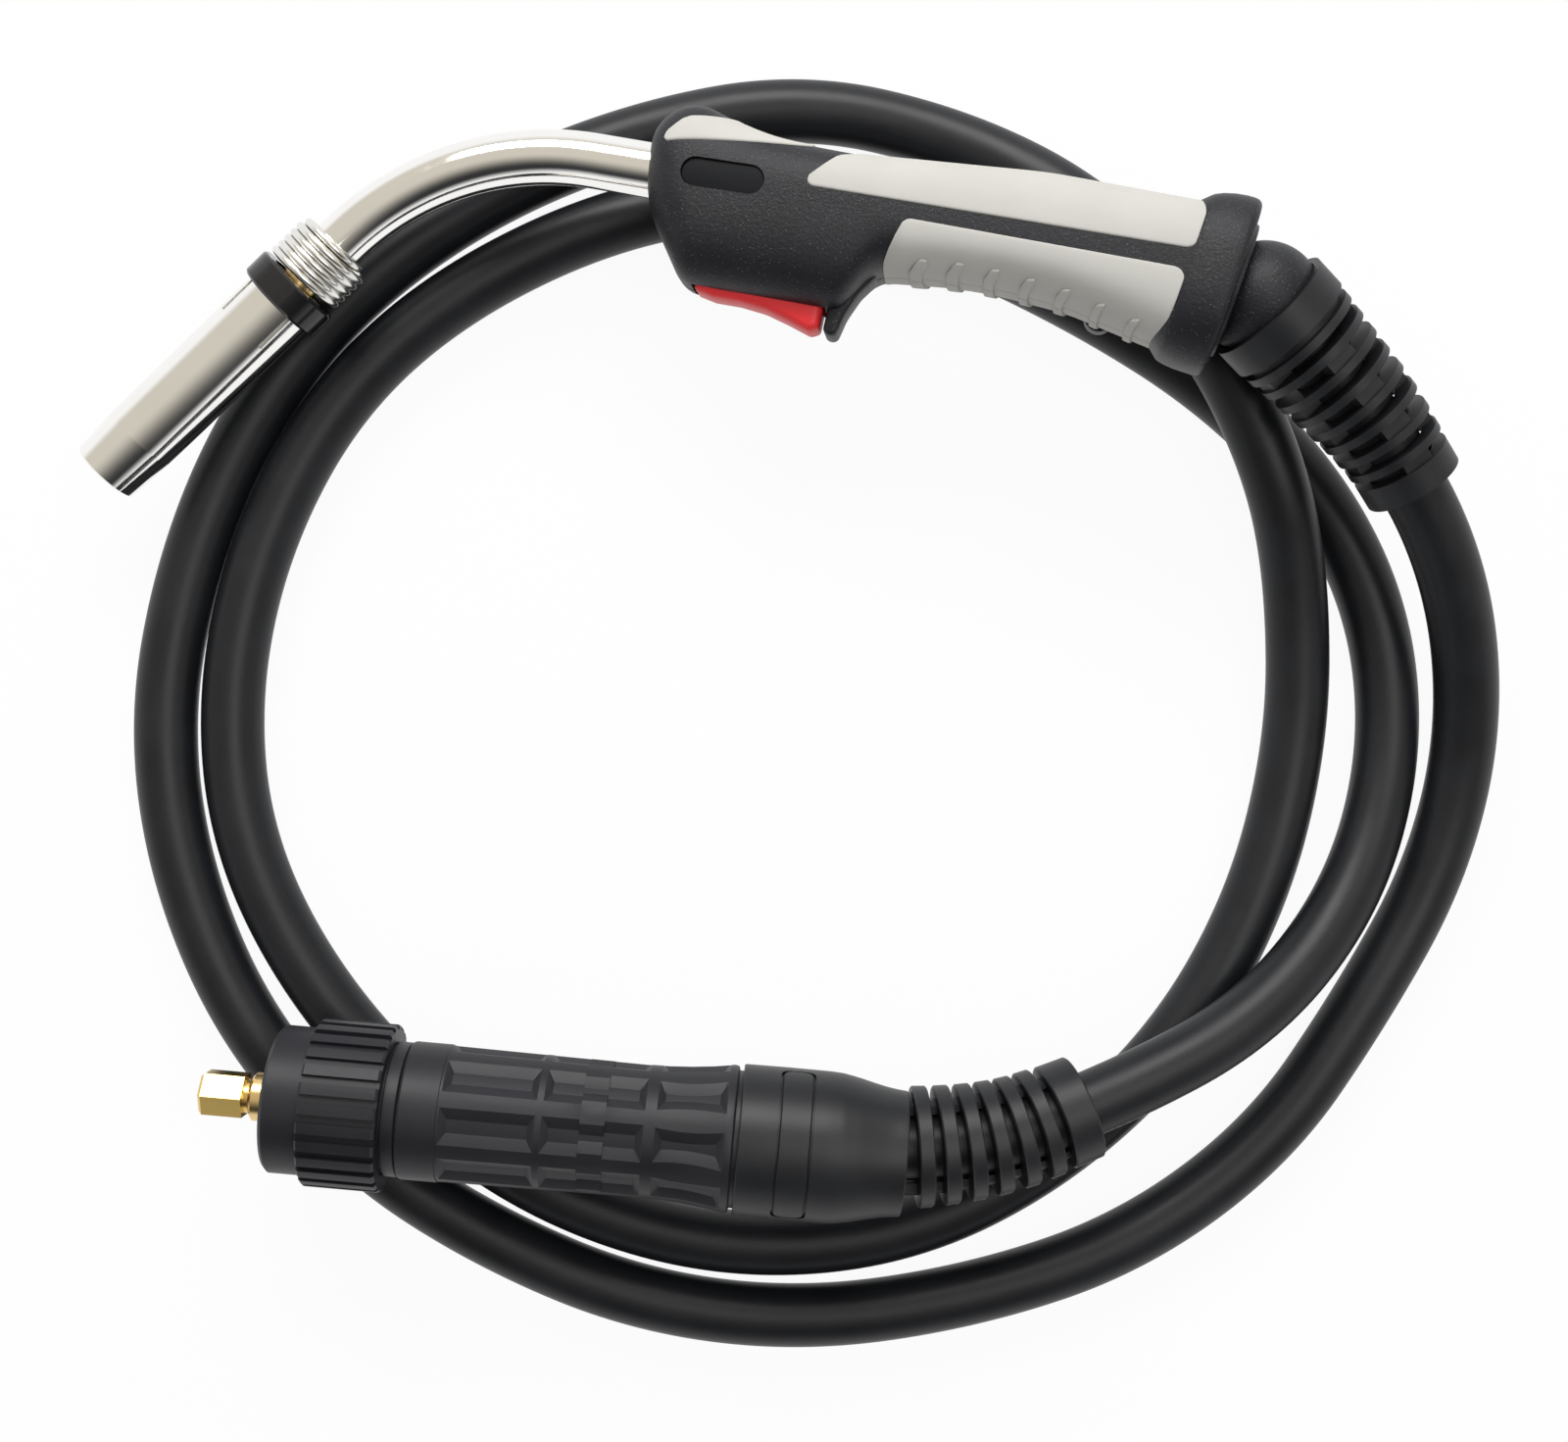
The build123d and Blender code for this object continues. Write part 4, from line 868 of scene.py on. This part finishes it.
def across(distance):
    """The frame across the cable at a distance along it from the plug: X runs along it, Z is up."""
    place = min(distance / line_step, len(route_line) - 2)
    index = int(place)
    here = Vector(route_line[index]).lerp(Vector(route_line[index + 1]), place - index)
    before, after = max(index - 4, 0), min(index + 4, len(route_line) - 1)
    x = (Vector(route_line[after]) - Vector(route_line[before])).normalized()
    y = Vector((0, 0, 1)).cross(x).normalized()
    return frame_matrix(here, x, y, x.cross(y))


def ring(work, place, thick, radius, end_radius, bore, edge=0.35):
    """A washer round the cable with softened edges, whose radius may change along it."""
    profile = [
        (-thick / 2, bore), (-thick / 2, radius - edge), (-thick / 2 + edge, radius),
        (thick / 2 - edge, end_radius), (thick / 2, end_radius - edge), (thick / 2, bore),
    ]
    part = bmesh.new()
    spun(part, profile, 72)
    bmesh.ops.transform(part, matrix=place, verts=part.verts)
    merge(work, part)


def merge(work, part):
    """Adds one mesh in the making to another and frees it."""
    mesh = bpy.data.meshes.new("part")
    part.to_mesh(mesh)
    part.free()
    work.from_mesh(mesh)
    bpy.data.meshes.remove(mesh)


def bridge(work, place, length, radius, side, width):
    """A web between two washers on one side of the cable."""
    part = bmesh.new()
    half = width / 2
    section = [(web_bore, -half), (radius - 1.2, -half), (radius, -half + 2), (radius, half - 2),
               (radius - 1.2, half), (web_bore, half)]
    tube(part, [[(x, side * y, z) for y, z in section] for x in (-length / 2, length / 2)])
    bmesh.ops.transform(part, matrix=place, verts=part.verts)
    merge(work, part)


slat_pitch, slat_thick, slat_count = 6.5, 4.0, 6
slat_radius, slat_end_radius, slat_taper, slat_bore = 16.1, 15.95, 0.27, 9.3
web_radius, web_taper, web_bore, web_width, web_overlap = 12.6, 0.22, 9.0, 7, 0.7
slat_first = 37.3  # distance of the first washer's middle from the cable's start
slats = bmesh.new()
for k in range(slat_count):
    radii = slat_radius - slat_taper * k, slat_end_radius - slat_taper * k
    ring(slats, across(slat_first + slat_pitch * k), slat_thick, *radii, slat_bore)
for k in range(slat_count + 1):
    place = across(slat_first + slat_pitch * (k - 0.5))
    web_length = slat_pitch - slat_thick + 2 * web_overlap
    for side in (1, -1):
        bridge(slats, place, web_length, web_radius - web_taper * k, side, web_width)
settle("boot_slats", slats, "boot_rubber", "cable_and_plug", plug, (), 34)
end_ring = bmesh.new()
ring_thick = 8.6
ring_start = slat_first + slat_pitch * slat_count - slat_thick / 2
ring(end_ring, across(ring_start + ring_thick / 2), ring_thick, 14.3, 14.1, 8.9, 0.4)
settle("boot_end_ring", end_ring, "boot_rubber", "cable_and_plug", plug, (), 34)

for tool in (trigger_room, panel_room, *badge_rooms.values(), *screw_rooms):
    bpy.data.objects.remove(tool)

# ---------------------------------------------------------------- carried-over CAD nodes
for name, node in nodes.items():
    if node.hide_render:
        continue
    dress(node, record_slots[name])
for name, width in {
    "plug_nut": 0.25, "cable_support": 0.3, "nozzle_insulator": 0.3, "liner_nut": 0.2, "gas_nozzle": 0.15,
    "plug_housing": 0.2, "gas_spigot": 0.15, "shell_screws": 0.2,
}.items():
    soften(nodes[name], width)

# ---------------------------------------------------------------- floor, light and background
floor_mesh = bpy.data.meshes.new("floor")
floor_half = 3.0  # in metres
floor_corners = [(x * floor_half, y * floor_half) for x, y in ((-1, -1), (1, -1), (1, 1), (-1, 1))]
floor_mesh.from_pydata([(x, y, -plug_height * MM) for x, y in floor_corners], [], [(0, 1, 2, 3)])
floor = bpy.data.objects.new("floor", floor_mesh)
bpy.context.scene.collection.objects.link(floor)
floor_white = 0.94  # share of plain white that the camera and the reflections see in the floor
floor_look = bpy.data.materials.new("floor")
floor_look.use_nodes = True
tree = floor_look.node_tree
surface = tree.nodes["Principled BSDF"]
surface.inputs["Base Color"].default_value = (0.8, 0.8, 0.8, 1)
surface.inputs["Roughness"].default_value = 0.9
white = tree.nodes.new("ShaderNodeEmission")
white.inputs["Strength"].default_value = 1.0
path = tree.nodes.new("ShaderNodeLightPath")
seen = tree.nodes.new("ShaderNodeMath")
seen.operation = "MAXIMUM"
tree.links.new(path.outputs["Is Camera Ray"], seen.inputs[0])
tree.links.new(path.outputs["Is Glossy Ray"], seen.inputs[1])
amount = tree.nodes.new("ShaderNodeMath")
amount.operation = "MULTIPLY"
amount.inputs[1].default_value = floor_white
tree.links.new(seen.outputs[0], amount.inputs[0])
blend = tree.nodes.new("ShaderNodeMixShader")
tree.links.new(amount.outputs[0], blend.inputs[0])
tree.links.new(surface.outputs[0], blend.inputs[1])
tree.links.new(white.outputs[0], blend.inputs[2])
tree.links.new(blend.outputs[0], tree.nodes["Material Output"].inputs["Surface"])
floor_mesh.materials.append(floor_look)

bpy.context.scene.view_settings.view_transform = "Standard"
world = bpy.data.worlds.new("world")
bpy.context.scene.world = world
world.use_nodes = True
sky = world.node_tree


def sky_node(kind, **values):
    """A new node of the background with some of its settings given."""
    node = sky.nodes.new(kind)
    for key, value in values.items():
        setattr(node, key, value)
    return node


def sky_step(output, low, high):
    """A smooth step from 0 to 1 as an output goes from low to high."""
    node = sky_node("ShaderNodeMapRange", interpolation_type="SMOOTHSTEP")
    node.inputs["From Min"].default_value, node.inputs["From Max"].default_value = low, high
    sky.links.new(output, node.inputs["Value"])
    return node.outputs["Result"]


def sky_mix(amount, one, other):
    """A mix of two colours of the background: each is an output or a colour."""
    node = sky_node("ShaderNodeMix", data_type="RGBA")
    sky.links.new(amount, node.inputs[0])
    for socket, value in ((node.inputs[6], one), (node.inputs[7], other)):
        if isinstance(value, bpy.types.NodeSocket):
            sky.links.new(value, socket)
        else:
            socket.default_value = (*value, 1)
    return node.outputs[2]


direction = sky_node("ShaderNodeSeparateXYZ")
sky.links.new(sky_node("ShaderNodeTexCoord").outputs["Generated"], direction.inputs[0])
overhead = sky_step(direction.outputs["Z"], 0.06, 0.5)
back = sky_step(direction.outputs["Y"], -0.8, 0.02)
ceiling = sky_mix(back, (0.035, 0.035, 0.037), (0.66, 0.62, 0.54))
studio = sky_mix(overhead, (1, 1, 1), ceiling)
rays_seen = sky_node("ShaderNodeLightPath")
shown = sky_mix(rays_seen.outputs["Is Glossy Ray"], (0.42, 0.42, 0.42), studio)
straight = sky_node("ShaderNodeMath", operation="MAXIMUM")
sky.links.new(rays_seen.outputs["Is Camera Ray"], straight.inputs[0])
sky.links.new(rays_seen.outputs["Is Transmission Ray"], straight.inputs[1])
sky.links.new(sky_mix(straight.outputs[0], shown, (1, 1, 1)), sky.nodes["Background"].inputs["Color"])
sky.nodes["Background"].inputs["Strength"].default_value = 1.0


def softbox(name, place, target, width, height, watts):
    """A rectangular lamp that points from its place to a target, in metres."""
    light = bpy.data.lights.new(name, "AREA")
    light.shape = "RECTANGLE"
    light.size, light.size_y = width, height
    light.energy = watts
    lamp = bpy.data.objects.new(name, light)
    lamp.location = place
    lamp.rotation_euler = (Vector(target) - Vector(place)).to_track_quat("-Z", "Y").to_euler()
    bpy.context.scene.collection.objects.link(lamp)


softbox("key", (-0.1, 1.3, 1.0), (0.12, 0.12, 0), 1.2, 0.7, 22)
softbox("fill", (0.6, 0.2, 1.6), (0.12, 0.12, 0), 0.9, 0.9, 7)
